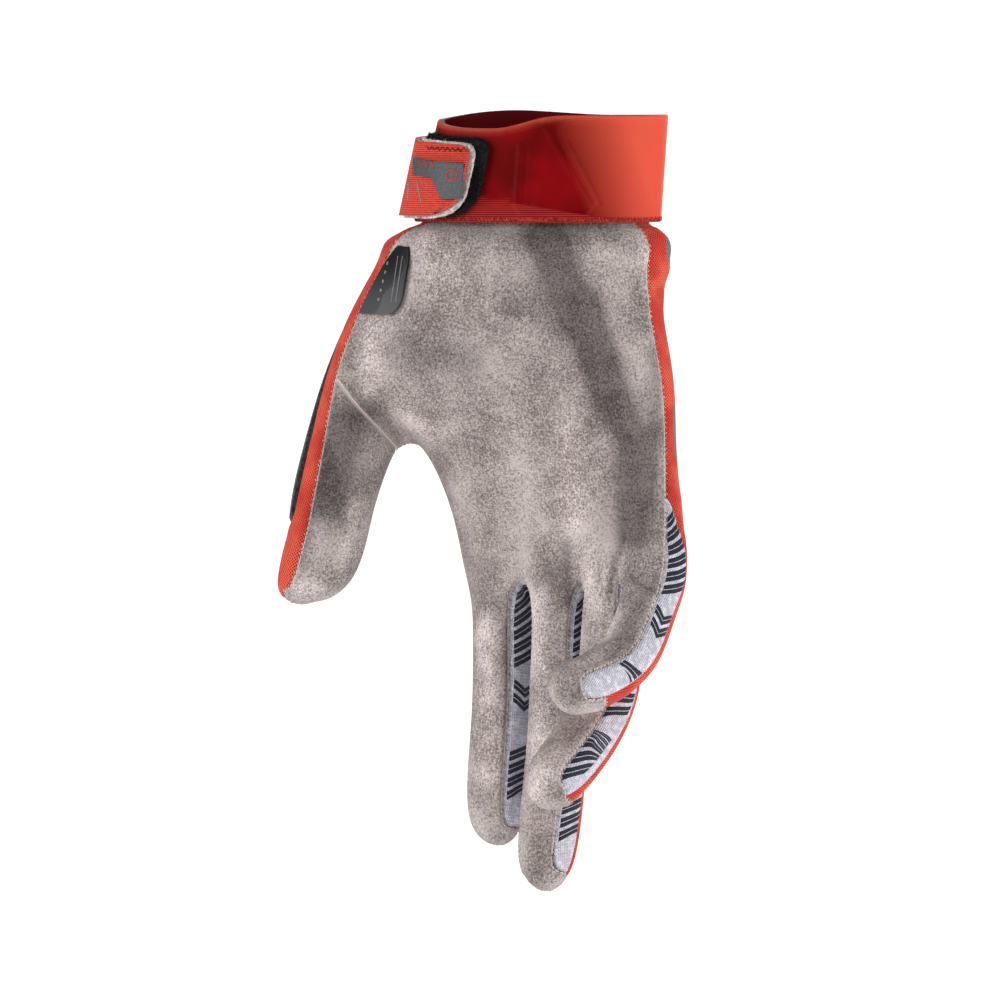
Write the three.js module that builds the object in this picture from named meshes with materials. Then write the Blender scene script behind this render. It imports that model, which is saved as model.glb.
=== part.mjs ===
// A full-finger mountain bike glove for the right hand, in the shape that it has on a hand whose fingers
// hang down and curl a little. Millimetres, +Z up. The palm faces -Y, the thumb is on the -X side and the
// little finger on the +X side. The origin is the centre of the wrist opening.
//
// The glove body is one smooth skin. A coarse cage of four-sided faces is laid out from short tables of
// sections, each face with the name of the cut panel that it belongs to. The cage is smoothed, the dents
// are pressed in, and each panel is then given its cloth thickness and a seam gap along its edges.

import * as THREE from "three";

// Lengths of the glove body
const CUFF_HEIGHT = 31; // wrist opening to the seam above the palm
const PALM_LENGTH = 102; // that seam to the forks between the fingers
const INDEX_LENGTH = 82; // fork to fingertip, along the finger
const MIDDLE_LENGTH = 94;
const RING_LENGTH = 81;
const LITTLE_LENGTH = 59;
const THUMB_LENGTH = 70; // middle of the thumb's root to its tip

// Widths and depths of the glove body
const WRIST_WIDTH = 67; // at the wrist opening, outside
const WRIST_DEPTH = 47;
const PALM_WIDTH = 76; // across the knuckles
const PALM_DEPTH = 46; // through the ball of the thumb
const FINGER_WIDTH = 17.6; // index, middle and ring finger
const LITTLE_WIDTH = 16.2;
const FINGER_DEPTH = 18.5;
const THUMB_WIDTH = 24;
const THUMB_DEPTH = 22;

// Cloth and seams
const SUEDE_WALL = 1.2;
const MESH_WALL = 1.2;
const KNIT_WALL = 1.1;
const NEOPRENE_WALL = 2;
const WIPE_RISE = 1.4; // how far the soft thumb pad stands above the panels beside it
const SEAM_GAP = 0.4; // between the edges of two panels
const FIT_GAP = 0.4; // between a layer and the one it lies on
const HEM_LAP = 5; // how far the glove body runs up inside the cuff
const LAP_CLEARANCE = 0.5; // between the glove body's top edge and the cuff around it
const HEM_PINCH = 2.2; // how far the body is drawn in further at the seam

// Wrist closure
const TAB_HEIGHT = 22;
const TAB_FOOT = 2; // from the cuff seam to the tab's lower edge
const TAB_WALL = 1.4;
const TAB_TOP_CORNER = 4.5;
const TAB_LOW_CORNER = 8;
const LINING_WALL = 1; // felt layer under the tab
const PAD_WALL = 1.5; // black hook pad under the end of the tab
const BADGE_WALL = 0.8;
const LABEL_WALL = 0.8;
const LABEL_GAP = 0.5; // between the label and the palm under it
const LABEL_MARGIN = 1.2; // between the label and the palm's seam

// Number of straight sides that a closed ring of each part of the cage has
const HAND_SIDES = 20;
const FINGER_SIDES = 8;
const THUMB_SIDES = 10;
const CUFF_SIDES = 40;

const SEAM_PASSES = 3; // rounds of evening out the seams
const SECTION_POWER = 2.3; // 2 is an ellipse, more is squarer

// Sections of the hand below the cuff seam. drop is a share of PALM_LENGTH, across and width of
// PALM_WIDTH, ahead (towards the palm side) and depth of PALM_DEPTH. turn is in degrees, and turns the
// little finger's side towards the palm side. hollow sinks the middle of the palm, as a share of depth.
// edge is where the palm panel ends on the little finger's side, as a share of half the width.
const HAND_ROWS = [
  { drop: 0.045, across: -0.105, ahead: 0, width: 1.06, depth: 1.02, turn: 10, hollow: 0, edge: 0.9 },
  { drop: 0.14, across: -0.138, ahead: 0, width: 1.11, depth: 0.98, turn: 11, hollow: 0.02, edge: 0.92 },
  { drop: 0.265, across: -0.187, ahead: 0.01, width: 1.23, depth: 1, turn: 13, hollow: 0.06, edge: 0.94 },
  { drop: 0.385, across: -0.168, ahead: 0.02, width: 1.265, depth: 0.98, turn: 15, hollow: 0.1, edge: 0.985 },
  { drop: 0.5, across: -0.083, ahead: 0.02, width: 1.13, depth: 0.93, turn: 17, hollow: 0.13, edge: 0.993 },
  { drop: 0.615, across: -0.028, ahead: 0.01, width: 1.03, depth: 0.86, turn: 20, hollow: 0.14, edge: 0.993 },
  { drop: 0.73, across: 0.022, ahead: 0, width: 0.97, depth: 0.76, turn: 24, hollow: 0.12, edge: 0.99 },
  { drop: 0.87, across: 0.066, ahead: 0.01, width: 0.995, depth: 0.66, turn: 32, hollow: 0.08, edge: 0.95 },
  { drop: 1, across: 0.085, ahead: 0.02, width: 1.065, depth: 0.56, turn: 39, hollow: 0.03, edge: 0.92 },
];
const LAP_ROWS = [
  { rise: HEM_LAP, pinch: 0 },
  { rise: 0, pinch: HEM_PINCH },
];
const THUMB_ROOT_ROWS = [4, 7]; // the thumb leaves the hand between these two rings of the cage

// Where the cage's points stand along a ring, from the thumb's side to the little finger's, as shares of
// half its width. Every second point is a fork between two fingers.
const PALM_STOPS = [-0.93, -0.61, -0.26, 0.03, 0.31, 0.44, 0.58, 0.78, 0.93];
const BACK_STOPS = [-0.93, -0.73, -0.475, -0.24, 0, 0.24, 0.475, 0.73, 0.93];

// Fingers from the thumb's side outwards. turn and splay are in degrees: turn is the way that the finger
// curls, towards the palm side at 0 and towards the thumb's side at 90. knuckle, middle and end are how
// far it bends at its three joints.
const FINGERS = [
  {
    name: "index",
    length: INDEX_LENGTH,
    width: FINGER_WIDTH,
    turn: 40,
    splay: 5,
    knuckle: 4,
    middle: 11,
    end: -9,
  },
  {
    name: "middle",
    length: MIDDLE_LENGTH,
    width: FINGER_WIDTH,
    turn: 40,
    splay: 2,
    knuckle: 4,
    middle: 8,
    end: 0,
  },
  {
    name: "ring",
    length: RING_LENGTH,
    width: FINGER_WIDTH,
    turn: 42,
    splay: 5,
    knuckle: 9,
    middle: 42,
    end: 8,
  },
  {
    name: "little",
    length: LITTLE_LENGTH,
    width: LITTLE_WIDTH,
    turn: 44,
    splay: 2,
    knuckle: 30,
    middle: 42,
    end: 12,
  },
];

// Sections along every finger. along is a share of its length, girth a share of its width and depth.
const FINGER_ROWS = [
  { along: 0.11, girth: 0.97 },
  { along: 0.26, girth: 0.99 },
  { along: 0.41, girth: 1.02 },
  { along: 0.55, girth: 0.99 },
  { along: 0.69, girth: 0.98 },
  { along: 0.82, girth: 0.98 },
  { along: 0.94, girth: 0.84 },
];
const FINGERTIP_REACH = 1.04; // the cage's last point stands past the tip, because smoothing draws it in
const MIDDLE_JOINT = { from: 0.32, to: 0.58 }; // the stretches in which a finger's joints bend
const END_JOINT = { from: 0.64, to: 0.84 };
const FINGER_STOPS_DEG = [-45, 3, 54, 94, 135, 180, 225, 270]; // points round a finger, 0 on its pad

// Sections along the thumb. across and ahead are shares of THUMB_WIDTH and THUMB_DEPTH by which its
// middle leaves the straight line from root to tip; girth is a share of both. lean and roll are in
// degrees: lean raises the ring's outer side, roll turns its outer side towards the palm side.
const THUMB_ROWS = [
  { along: 0.16, across: -0.13, ahead: 0.1, girth: 1.24, lean: 26, roll: 6 },
  { along: 0.36, across: -0.09, ahead: 0.08, girth: 1.08, lean: 16, roll: 18 },
  { along: 0.55, across: -0.03, ahead: 0.04, girth: 1.02, lean: 4, roll: 22 },
  { along: 0.73, across: 0.07, ahead: 0, girth: 0.98, lean: 0, roll: 24 },
  { along: 0.88, across: 0.09, ahead: 0, girth: 0.9, lean: -4, roll: 24 },
  { along: 0.98, across: 0.02, ahead: 0, girth: 0.62, lean: -10, roll: 24 },
];
const THUMB_SLANT = 21; // degrees from straight down, away from the palm
const THUMB_REACH = 6; // degrees from straight down, towards the palm side
const THUMB_TIP = { along: 1.05, across: -0.04 };

// Dents pressed into the skin, each along a line. x is a share of PALM_WIDTH and z of PALM_LENGTH below
// the cuff seam; depth and reach are in millimetres. side is -1 for the palm side and 1 for the back.
const DENTS = [
  { name: "thumb_web", x0: -0.76, z0: 0.48, x1: -0.55, z1: 0.62, depth: 2.2, reach: 4, side: -1 },
  { name: "little_finger_root", x0: 0.3, z0: 0.8, x1: 0.235, z1: 0.99, depth: 2.4, reach: 4.5, side: -1 },
  { name: "palm_valley", x0: 0.13, z0: 0.25, x1: 0.29, z1: 0.85, depth: 1.8, reach: 7, side: -1 },
];

// Height of the cuff's upper edge round the wrist, from its average. angle is in degrees from the little
// finger's side, and -90 is the middle of the palm side. rise is a share of CUFF_HEIGHT.
const RIM_ROWS = [
  { angle: -180, rise: -0.04 },
  { angle: -155, rise: -0.1 },
  { angle: -130, rise: -0.13 },
  { angle: -108, rise: -0.13 },
  { angle: -86, rise: -0.01 },
  { angle: -45, rise: -0.01 },
  { angle: 0, rise: 0 },
  { angle: 70, rise: 0 },
  { angle: 110, rise: 0.045 },
  { angle: 180, rise: -0.04 },
];

// The cuff's outer section at its lower seam, in the same shares as HAND_ROWS.
const CUFF_SEAM = { across: -0.058, width: 0.945, depth: 1.02, turn: 9 };
const CUFF_RIM_TURN = 7;

const radians = THREE.MathUtils.degToRad;
const lerp = THREE.MathUtils.lerp;
const vec = (x, y, z) => new THREE.Vector3(x, y, z);
const seamZ = -CUFF_HEIGHT;
const forkZ = seamZ - PALM_LENGTH;

// A point on a squared ellipse turned about Z. angle is in degrees.
function sectionPoint(section, angle, grow = 0) {
  const c = Math.cos(radians(angle));
  const s = Math.sin(radians(angle));
  const bend = 2 / SECTION_POWER;
  const x = (section.a + grow) * Math.sign(c) * Math.abs(c) ** bend;
  const y = (section.b + grow) * Math.sign(s) * Math.abs(s) ** bend;
  const t = radians(section.turn);
  return [
    section.x + x * Math.cos(t) + y * Math.sin(t),
    section.y - x * Math.sin(t) + y * Math.cos(t),
  ];
}

// The cuff's outer section at a height above its seam, as a share of its height.
function cuffSection(share) {
  return {
    x: lerp(CUFF_SEAM.across * PALM_WIDTH, 0, share),
    y: 0,
    a: lerp(CUFF_SEAM.width * PALM_WIDTH, WRIST_WIDTH, share) / 2,
    b: lerp(CUFF_SEAM.depth * PALM_DEPTH, WRIST_DEPTH, share) / 2,
    turn: lerp(CUFF_SEAM.turn, CUFF_RIM_TURN, share),
  };
}

// A ring's control points stand outside the smooth ring that they make by this factor.
function ringStretch(sides) {
  return 3 / (2 + Math.cos((2 * Math.PI) / sides));
}

// The cage: points, and four-sided faces with a panel name each
const cage = { points: [], faces: [] };

function addPoint(p) {
  cage.points.push(p);
  return cage.points.length - 1;
}

function addFace(panel, ...corners) {
  cage.faces.push({ panel, corners });
}

// The points of one ring of the hand, counted from the thumb's side over the palm side to the little
// finger's side, and back over the back of the hand.
function handRing({ section, z, hollow, edge }) {
  const stretch = ringStretch(HAND_SIDES);
  const at = (share, side) => {
    const depth = side * (1 - Math.abs(share) ** SECTION_POWER) ** (1 / SECTION_POWER);
    const sunk = side < 0 ? 1 - hollow * Math.cos((share * Math.PI) / 2) ** 2 : 1;
    const x = share * section.a * stretch;
    const y = depth * section.b * stretch * sunk;
    const t = radians(section.turn);
    const px = section.x + x * Math.cos(t) + y * Math.sin(t);
    const py = section.y - x * Math.sin(t) + y * Math.cos(t);
    return addPoint(vec(px, py, z));
  };
  const palm = [...PALM_STOPS.slice(0, -1), edge].map((share) => at(share, -1));
  const littleSide = at(1, -1);
  const back = [...BACK_STOPS].reverse().map((share) => at(share, 1));
  const thumbSide = at(-1, -1);
  return [...palm, littleSide, ...back, thumbSide];
}

// Which panel the face between ring points i and i + 1 of the hand belongs to.
const THUMB_SIDE_COLUMNS = [18, 19];
const PALM_COLUMNS = 8;
const LITTLE_PANEL_ROWS = { 8: 8, 9: 9 }; // the ring at which the knit side panel starts, by column
const WIPE_ROW = 3; // the thumb pad's end on the hand

function handPanel(row, column) {
  if (column < PALM_COLUMNS) return "palm_panel";
  if (row >= LITTLE_PANEL_ROWS[column]) return "little_side_panel";
  if (column === 19) return row < THUMB_ROOT_ROWS[1] ? "thumb_back_panel" : "palm_panel";
  if (column === 18 && row === WIPE_ROW) return "thumb_wipe_pad";
  if (column === 18 && row >= THUMB_ROOT_ROWS[1]) return "palm_panel";
  return "back_panel";
}

function isThumbHole(row, column) {
  return THUMB_SIDE_COLUMNS.includes(column) && row >= THUMB_ROOT_ROWS[0] && row < THUMB_ROOT_ROWS[1];
}

// The rings of the hand: those in the lap inside the cuff, then the rows of the table
function handSections() {
  const lap = LAP_ROWS.map((row) => {
    const s = cuffSection(row.rise / CUFF_HEIGHT);
    const inset = NEOPRENE_WALL + LAP_CLEARANCE + row.pinch;
    const section = { ...s, a: s.a - inset, b: s.b - inset };
    return { section, z: seamZ + row.rise, hollow: 0, edge: HAND_ROWS[0].edge };
  });
  const rows = HAND_ROWS.map((row) => ({
    section: {
      x: row.across * PALM_WIDTH,
      y: -row.ahead * PALM_DEPTH,
      a: (row.width * PALM_WIDTH) / 2,
      b: (row.depth * PALM_DEPTH) / 2,
      turn: row.turn,
    },
    z: seamZ - row.drop * PALM_LENGTH,
    hollow: row.hollow,
    edge: row.edge,
  }));
  return [...lap, ...rows];
}

function buildHand() {
  const rings = handSections().map(handRing);
  for (let row = 0; row + 1 < rings.length; row++)
    for (let c = 0; c < HAND_SIDES; c++) {
      if (isThumbHole(row, c)) continue;
      const next = (c + 1) % HAND_SIDES;
      addFace(handPanel(row, c), rings[row][c], rings[row + 1][c], rings[row + 1][next], rings[row][next]);
    }
  return rings;
}

// Joins two rings of a finger or of the thumb with a band of faces.
function addBand(upper, lower, panelOf) {
  const n = upper.length;
  for (let c = 0; c < n; c++)
    addFace(panelOf(c), upper[c], lower[c], lower[(c + 1) % n], upper[(c + 1) % n]);
}

// Closes a ring with one point at its tip, two ring edges to each face.
function addTip(ring, tip, panelOf) {
  for (let c = 0; c < ring.length; c += 2)
    addFace(panelOf(c), ring[c], tip, ring[(c + 2) % ring.length], ring[c + 1]);
}

const SIDE_PANELS = ["fourchette_index_middle", "fourchette_middle_ring", "fourchette_ring_little"];

// Which panel the face between points c and c + 1 round finger k belongs to.
function fingerPanel(k, c) {
  if (c < 2) return "palm_panel";
  if (c < 4) return k < SIDE_PANELS.length ? SIDE_PANELS[k] : "little_side_panel";
  if (c < 6) return "back_panel";
  return k > 0 ? SIDE_PANELS[k - 1] : "palm_panel";
}

// The finger's middle line, as a function of the share of its length, with its direction there.
function fingerLine(finger, root) {
  const turn = radians(finger.turn);
  const side = vec(Math.cos(turn), -Math.sin(turn), 0);
  const front = vec(-Math.sin(turn), -Math.cos(turn), 0);
  const bendAt = (share) =>
    finger.knuckle +
    finger.middle * THREE.MathUtils.smoothstep(share, MIDDLE_JOINT.from, MIDDLE_JOINT.to) +
    finger.end * THREE.MathUtils.smoothstep(share, END_JOINT.from, END_JOINT.to);
  const directionAt = (share) => {
    const bend = radians(bendAt(share));
    return vec(0, 0, -Math.cos(bend))
      .addScaledVector(front, Math.sin(bend))
      .addScaledVector(side, Math.tan(radians(finger.splay)))
      .normalize();
  };
  const steps = 50;
  return (share) => {
    const p = root.clone();
    for (let i = 0; i < steps; i++)
      p.addScaledVector(directionAt(((i + 0.5) / steps) * share), (share * finger.length) / steps);
    const along = directionAt(share);
    const across = side.clone().addScaledVector(along, -side.dot(along)).normalize();
    return { middle: p, across, pad: along.clone().cross(across) };
  };
}

function buildFinger(k, lastRing, forks) {
  const finger = FINGERS[k];
  const palm = 2 * k;
  const back = HAND_SIDES - 2 - 2 * k;
  const rootRing = [
    lastRing[palm],
    lastRing[palm + 1],
    lastRing[palm + 2],
    forks[k + 1],
    lastRing[back - 2],
    lastRing[back - 1],
    lastRing[back],
    forks[k],
  ];
  const root = rootRing
    .reduce((sum, i) => sum.add(cage.points[i]), vec(0, 0, 0))
    .divideScalar(FINGER_SIDES);
  const line = fingerLine(finger, root);
  const stretch = ringStretch(FINGER_SIDES);
  let upper = rootRing;
  for (const row of FINGER_ROWS) {
    const { middle, across, pad } = line(row.along);
    const a = (finger.width / 2) * row.girth * stretch;
    const b = (FINGER_DEPTH / 2) * row.girth * stretch * (finger.width / FINGER_WIDTH);
    const lower = FINGER_STOPS_DEG.map((degrees) =>
      addPoint(
        middle
          .clone()
          .addScaledVector(across, a * Math.sin(radians(degrees)))
          .addScaledVector(pad, b * Math.cos(radians(degrees))),
      ),
    );
    addBand(upper, lower, (c) => fingerPanel(k, c));
    upper = lower;
  }
  const tip = addPoint(line(FINGERTIP_REACH).middle);
  addTip(upper, tip, (c) => (c === 4 ? "back_panel" : "palm_panel"));
}

// The points halfway between the palm side and the back at each fork, and at the hand's two sides.
function forkPoints(lastRing) {
  const forks = [lastRing[HAND_SIDES - 1]];
  for (let k = 1; k < FINGERS.length; k++) {
    const a = cage.points[lastRing[2 * k]];
    const b = cage.points[lastRing[HAND_SIDES - 2 - 2 * k]];
    forks.push(addPoint(a.clone().add(b).multiplyScalar(0.5)));
  }
  forks.push(lastRing[PALM_COLUMNS + 1]);
  return forks;
}

// Which panel the face between points c and c + 1 round the thumb belongs to. Point 0 is its outer side.
const THUMB_WIPE_BANDS = 4; // how many bands of faces the soft pad covers, from the root

function thumbPanel(band, c) {
  if (c === 0) return "thumb_back_panel";
  if (c < 5) return band === 0 ? "palm_panel" : "thumb_palm_panel";
  if (c < 8) return "thumb_back_panel";
  return band < THUMB_WIPE_BANDS ? "thumb_wipe_pad" : "thumb_back_panel";
}

function buildThumb(rings) {
  const [top, bottom] = THUMB_ROOT_ROWS;
  const side = HAND_SIDES - 1;
  const rootRing = [
    rings[top][side],
    rings[top][0],
    rings[top + 1][0],
    rings[top + 2][0],
    rings[bottom][0],
    rings[bottom][side],
    rings[bottom][side - 1],
    rings[top + 2][side - 1],
    rings[top + 1][side - 1],
    rings[top][side - 1],
  ];
  const root = rootRing
    .reduce((sum, i) => sum.add(cage.points[i]), vec(0, 0, 0))
    .divideScalar(THUMB_SIDES);
  const slant = radians(THUMB_SLANT);
  const reach = radians(THUMB_REACH);
  const along = vec(-Math.sin(slant), -Math.sin(reach), -Math.cos(slant) * Math.cos(reach)).normalize();
  const front = vec(0, -1, 0);
  front.addScaledVector(along, -front.dot(along)).normalize();
  const outer = along.clone().cross(front).normalize();
  const stretch = ringStretch(THUMB_SIDES);
  let upper = rootRing;
  THUMB_ROWS.forEach((row, band) => {
    const middle = root
      .clone()
      .addScaledVector(along, row.along * THUMB_LENGTH)
      .addScaledVector(outer, -row.across * THUMB_WIDTH)
      .addScaledVector(front, row.ahead * THUMB_DEPTH);
    const lean = radians(row.lean);
    const outerLeaned = outer.clone().multiplyScalar(Math.cos(lean)).addScaledVector(along, -Math.sin(lean));
    const lower = Array.from({ length: THUMB_SIDES }, (_, i) => {
      const angle = radians((360 / THUMB_SIDES) * i + row.roll);
      const a = (THUMB_WIDTH / 2) * row.girth * stretch * Math.cos(angle);
      const b = (THUMB_DEPTH / 2) * row.girth * stretch * Math.sin(angle);
      return addPoint(middle.clone().addScaledVector(outerLeaned, a).addScaledVector(front, b));
    });
    addBand(upper, lower, (c) => thumbPanel(band, c));
    upper = lower;
  });
  const tip = addPoint(
    root
      .clone()
      .addScaledVector(along, THUMB_TIP.along * THUMB_LENGTH)
      .addScaledVector(outer, -THUMB_TIP.across * THUMB_WIDTH),
  );
  addTip(upper, tip, (c) => (c < 5 ? "thumb_palm_panel" : "thumb_back_panel"));
}

function buildCage() {
  const rings = buildHand();
  buildThumb(rings);
  const lastRing = rings[rings.length - 1];
  const forks = forkPoints(lastRing);
  FINGERS.forEach((_, k) => buildFinger(k, lastRing, forks));
}

// Smooths a mesh of four-sided faces once, by Catmull and Clark's rule. Each face becomes four, which keep
// its panel name.
function smooth(mesh) {
  const points = mesh.points;
  const average = (list) => list.reduce((s, p) => s.add(p), vec(0, 0, 0)).divideScalar(list.length);
  const facePoints = mesh.faces.map((f) => average(f.corners.map((i) => points[i])));
  const edges = new Map();
  const around = points.map(() => ({ faces: [], edges: [] }));
  mesh.faces.forEach((f, fi) => {
    f.corners.forEach((a, i) => {
      const b = f.corners[(i + 1) % f.corners.length];
      const key = Math.min(a, b) + "_" + Math.max(a, b);
      if (!edges.has(key)) {
        edges.set(key, { a, b, faces: [] });
        around[a].edges.push(key);
        around[b].edges.push(key);
      }
      edges.get(key).faces.push(fi);
      around[a].faces.push(fi);
    });
  });
  const middleOf = (e) => points[e.a].clone().add(points[e.b]).multiplyScalar(0.5);
  const made = points.map((p, i) => {
    const border = around[i].edges.map((k) => edges.get(k)).filter((e) => e.faces.length === 1);
    if (border.length) return average(border.map(middleOf)).add(p).multiplyScalar(0.5);
    const n = around[i].faces.length;
    const f = average(around[i].faces.map((k) => facePoints[k]));
    const e = average(around[i].edges.map((k) => middleOf(edges.get(k))));
    return f
      .addScaledVector(e, 2)
      .addScaledVector(p, n - 3)
      .divideScalar(n);
  });
  const edgeIndex = new Map();
  for (const [key, e] of edges) {
    const p = middleOf(e);
    if (e.faces.length === 2) p.add(average(e.faces.map((k) => facePoints[k]))).multiplyScalar(0.5);
    edgeIndex.set(key, made.push(p) - 1);
  }
  const faces = [];
  mesh.faces.forEach((f, fi) => {
    const centre = made.push(facePoints[fi]) - 1;
    const n = f.corners.length;
    const at = (i) => edgeIndex.get(
      Math.min(f.corners[i], f.corners[(i + 1) % n]) + "_" + Math.max(f.corners[i], f.corners[(i + 1) % n]),
    );
    for (let i = 0; i < n; i++)
      faces.push({ panel: f.panel, corners: [f.corners[i], at(i), centre, at((i + n - 1) % n)] });
  });
  return { points: made, faces };
}

// Evens out the seams of the hand: each seam point is drawn towards its two neighbours on the seam.
function evenSeams(mesh) {
  const owner = new Map();
  const along = new Map();
  for (const f of mesh.faces)
    f.corners.forEach((a, i) => {
      const b = f.corners[(i + 1) % 4];
      owner.set(a + "_" + b, f.panel);
    });
  for (const [key, panel] of owner) {
    const [a, b] = key.split("_").map(Number);
    if ((owner.get(b + "_" + a) ?? panel) !== panel) along.set(a, [...(along.get(a) ?? []), b]);
  }
  for (let pass = 0; pass < SEAM_PASSES; pass++) {
    const moved = new Map();
    for (const [i, next] of along) {
      const { z } = mesh.points[i];
      if (next.length !== 2 || z < forkZ || z > seamZ - HEM_LAP) continue;
      const middle = mesh.points[next[0]].clone().add(mesh.points[next[1]]).multiplyScalar(0.5);
      moved.set(i, mesh.points[i].clone().lerp(middle, 0.5));
    }
    for (const [i, p] of moved) mesh.points[i].copy(p);
  }
}

// The average direction that the faces round each point face.
function pointNormals(mesh) {
  const normals = mesh.points.map(() => vec(0, 0, 0));
  for (const f of mesh.faces) {
    const [a, b, c, d] = f.corners.map((i) => mesh.points[i]);
    const n = c.clone().sub(a).cross(d.clone().sub(b));
    f.corners.forEach((i) => normals[i].add(n));
  }
  return normals.map((n) => n.normalize());
}

// Presses the dents of the table into the skin.
function pressDents(mesh) {
  const normals = pointNormals(mesh);
  for (const dent of DENTS) {
    const from = new THREE.Vector2(dent.x0 * PALM_WIDTH, seamZ - dent.z0 * PALM_LENGTH);
    const to = new THREE.Vector2(dent.x1 * PALM_WIDTH, seamZ - dent.z1 * PALM_LENGTH);
    const line = to.clone().sub(from);
    mesh.points.forEach((p, i) => {
      if (normals[i].y * dent.side <= 0) return;
      const q = new THREE.Vector2(p.x, p.z).sub(from);
      const share = THREE.MathUtils.clamp(q.dot(line) / line.lengthSq(), 0, 1);
      const away = q.addScaledVector(line, -share).length() / dent.reach;
      p.addScaledVector(normals[i], -dent.depth * Math.exp(-away * away) * Math.abs(normals[i].y));
    });
  }
}

// Cuts one panel out of the skin and gives it its thickness. Its edge keeps half the seam gap, and rise
// lifts its outer face.
function panelGeometry(mesh, normals, panel, wall, rise = 0) {
  const faces = mesh.faces.filter((f) => f.panel === panel);
  const edges = new Map();
  for (const f of faces)
    f.corners.forEach((a, i) => {
      const b = f.corners[(i + 1) % 4];
      const twin = b + "_" + a;
      if (edges.has(twin)) edges.delete(twin);
      else edges.set(a + "_" + b, [a, b]);
    });
  const inwards = new Map();
  for (const [a, b] of edges.values()) {
    const along = mesh.points[b].clone().sub(mesh.points[a]);
    const into = normals[a].clone().add(normals[b]).cross(along).normalize();
    for (const i of [a, b]) inwards.set(i, (inwards.get(i) ?? vec(0, 0, 0)).add(into));
  }
  const index = new Map();
  const outer = [];
  const inner = [];
  for (const f of faces)
    for (const i of f.corners) {
      if (index.has(i)) continue;
      index.set(i, outer.length);
      const p = mesh.points[i].clone();
      if (inwards.has(i)) p.addScaledVector(inwards.get(i).normalize(), SEAM_GAP / 2);
      outer.push(p.clone().addScaledVector(normals[i], rise));
      inner.push(p.clone().addScaledVector(normals[i], -wall));
    }
  const points = [...outer, ...inner];
  const shift = outer.length;
  const triangles = [];
  const addQuad = (a, b, c, d) => {
    if (points[a].distanceTo(points[c]) <= points[b].distanceTo(points[d]))
      triangles.push([a, b, c], [a, c, d]);
    else triangles.push([a, b, d], [b, c, d]);
  };
  for (const f of faces) {
    const [a, b, c, d] = f.corners.map((i) => index.get(i));
    addQuad(a, b, c, d);
    addQuad(a + shift, d + shift, c + shift, b + shift);
  }
  for (const [a, b] of edges.values())
    addQuad(index.get(b), index.get(a), index.get(a) + shift, index.get(b) + shift);
  return geometryOf(points, triangles);
}

function geometryOf(points, triangles) {
  const geometry = new THREE.BufferGeometry();
  geometry.setAttribute(
    "position",
    new THREE.Float32BufferAttribute(points.flatMap((p) => [p.x, p.y, p.z]), 3),
  );
  geometry.setIndex(triangles.flat());
  return geometry;
}

// A slab between two grids of points with the same number of rows and columns. closed joins the last
// column to the first.
function slabGeometry(outer, inner, closed = false) {
  const rows = outer.length;
  const columns = outer[0].length;
  const points = [...outer.flat(), ...inner.flat()];
  const shift = rows * columns;
  const at = (r, c) => r * columns + (c % columns);
  const triangles = [];
  const addQuad = (a, b, c, d) => triangles.push([a, b, c], [a, c, d]);
  const last = closed ? columns : columns - 1;
  for (let c = 0; c < last; c++) {
    for (let r = 0; r + 1 < rows; r++) {
      addQuad(at(r, c), at(r + 1, c), at(r + 1, c + 1), at(r, c + 1));
      addQuad(shift + at(r, c), shift + at(r, c + 1), shift + at(r + 1, c + 1), shift + at(r + 1, c));
    }
    addQuad(at(0, c), at(0, c + 1), shift + at(0, c + 1), shift + at(0, c));
    const r = rows - 1;
    addQuad(at(r, c + 1), at(r, c), shift + at(r, c), shift + at(r, c + 1));
  }
  if (!closed)
    for (let r = 0; r + 1 < rows; r++) {
      const c = columns - 1;
      addQuad(at(r + 1, 0), at(r, 0), shift + at(r, 0), shift + at(r + 1, 0));
      addQuad(at(r, c), at(r + 1, c), shift + at(r + 1, c), shift + at(r, c));
    }
  return geometryOf(points, triangles);
}

// Height of the cuff's upper edge at an angle, smoothly between the rows of the table.
function rimZ(angle) {
  const i = RIM_ROWS.findIndex((row, k) => k > 0 && angle <= row.angle);
  const [from, to] = [RIM_ROWS[i - 1], RIM_ROWS[i]];
  const share = THREE.MathUtils.smoothstep(angle, from.angle, to.angle);
  return lerp(from.rise, to.rise, share) * CUFF_HEIGHT;
}

// A point on the cuff. angle is in degrees from -180 to 180, share the height from seam to rim, and out
// the distance outside the cuff's face.
function cuffPoint(angle, share, out = 0) {
  const [x, y] = sectionPoint(cuffSection(share), angle, out);
  return vec(x, y, lerp(seamZ, rimZ(angle), share));
}

const CUFF_SHARES = [0, 0.1, 0.3, 0.55, 0.8, 1];

function cuffAngles() {
  return Array.from({ length: CUFF_SIDES }, (_, i) => -180 + (360 / CUFF_SIDES) * i);
}

function cuffGeometry() {
  const shares = [...CUFF_SHARES].reverse();
  const grid = (out) => shares.map((share) => cuffAngles().map((angle) => cuffPoint(angle, share, out)));
  return slabGeometry(grid(0), grid(-NEOPRENE_WALL), true);
}

// The point at x on the palm side of the cuff, at height z and a distance outside the cuff's face
function cuffFront(x, z, out) {
  const share = (z - seamZ) / CUFF_HEIGHT;
  let [low, high] = [-180, -20];
  for (let i = 0; i < 30; i++) {
    const middle = (low + high) / 2;
    if (cuffPoint(middle, share, out).x < x) low = middle;
    else high = middle;
  }
  return cuffPoint(low, share, out);
}

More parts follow.
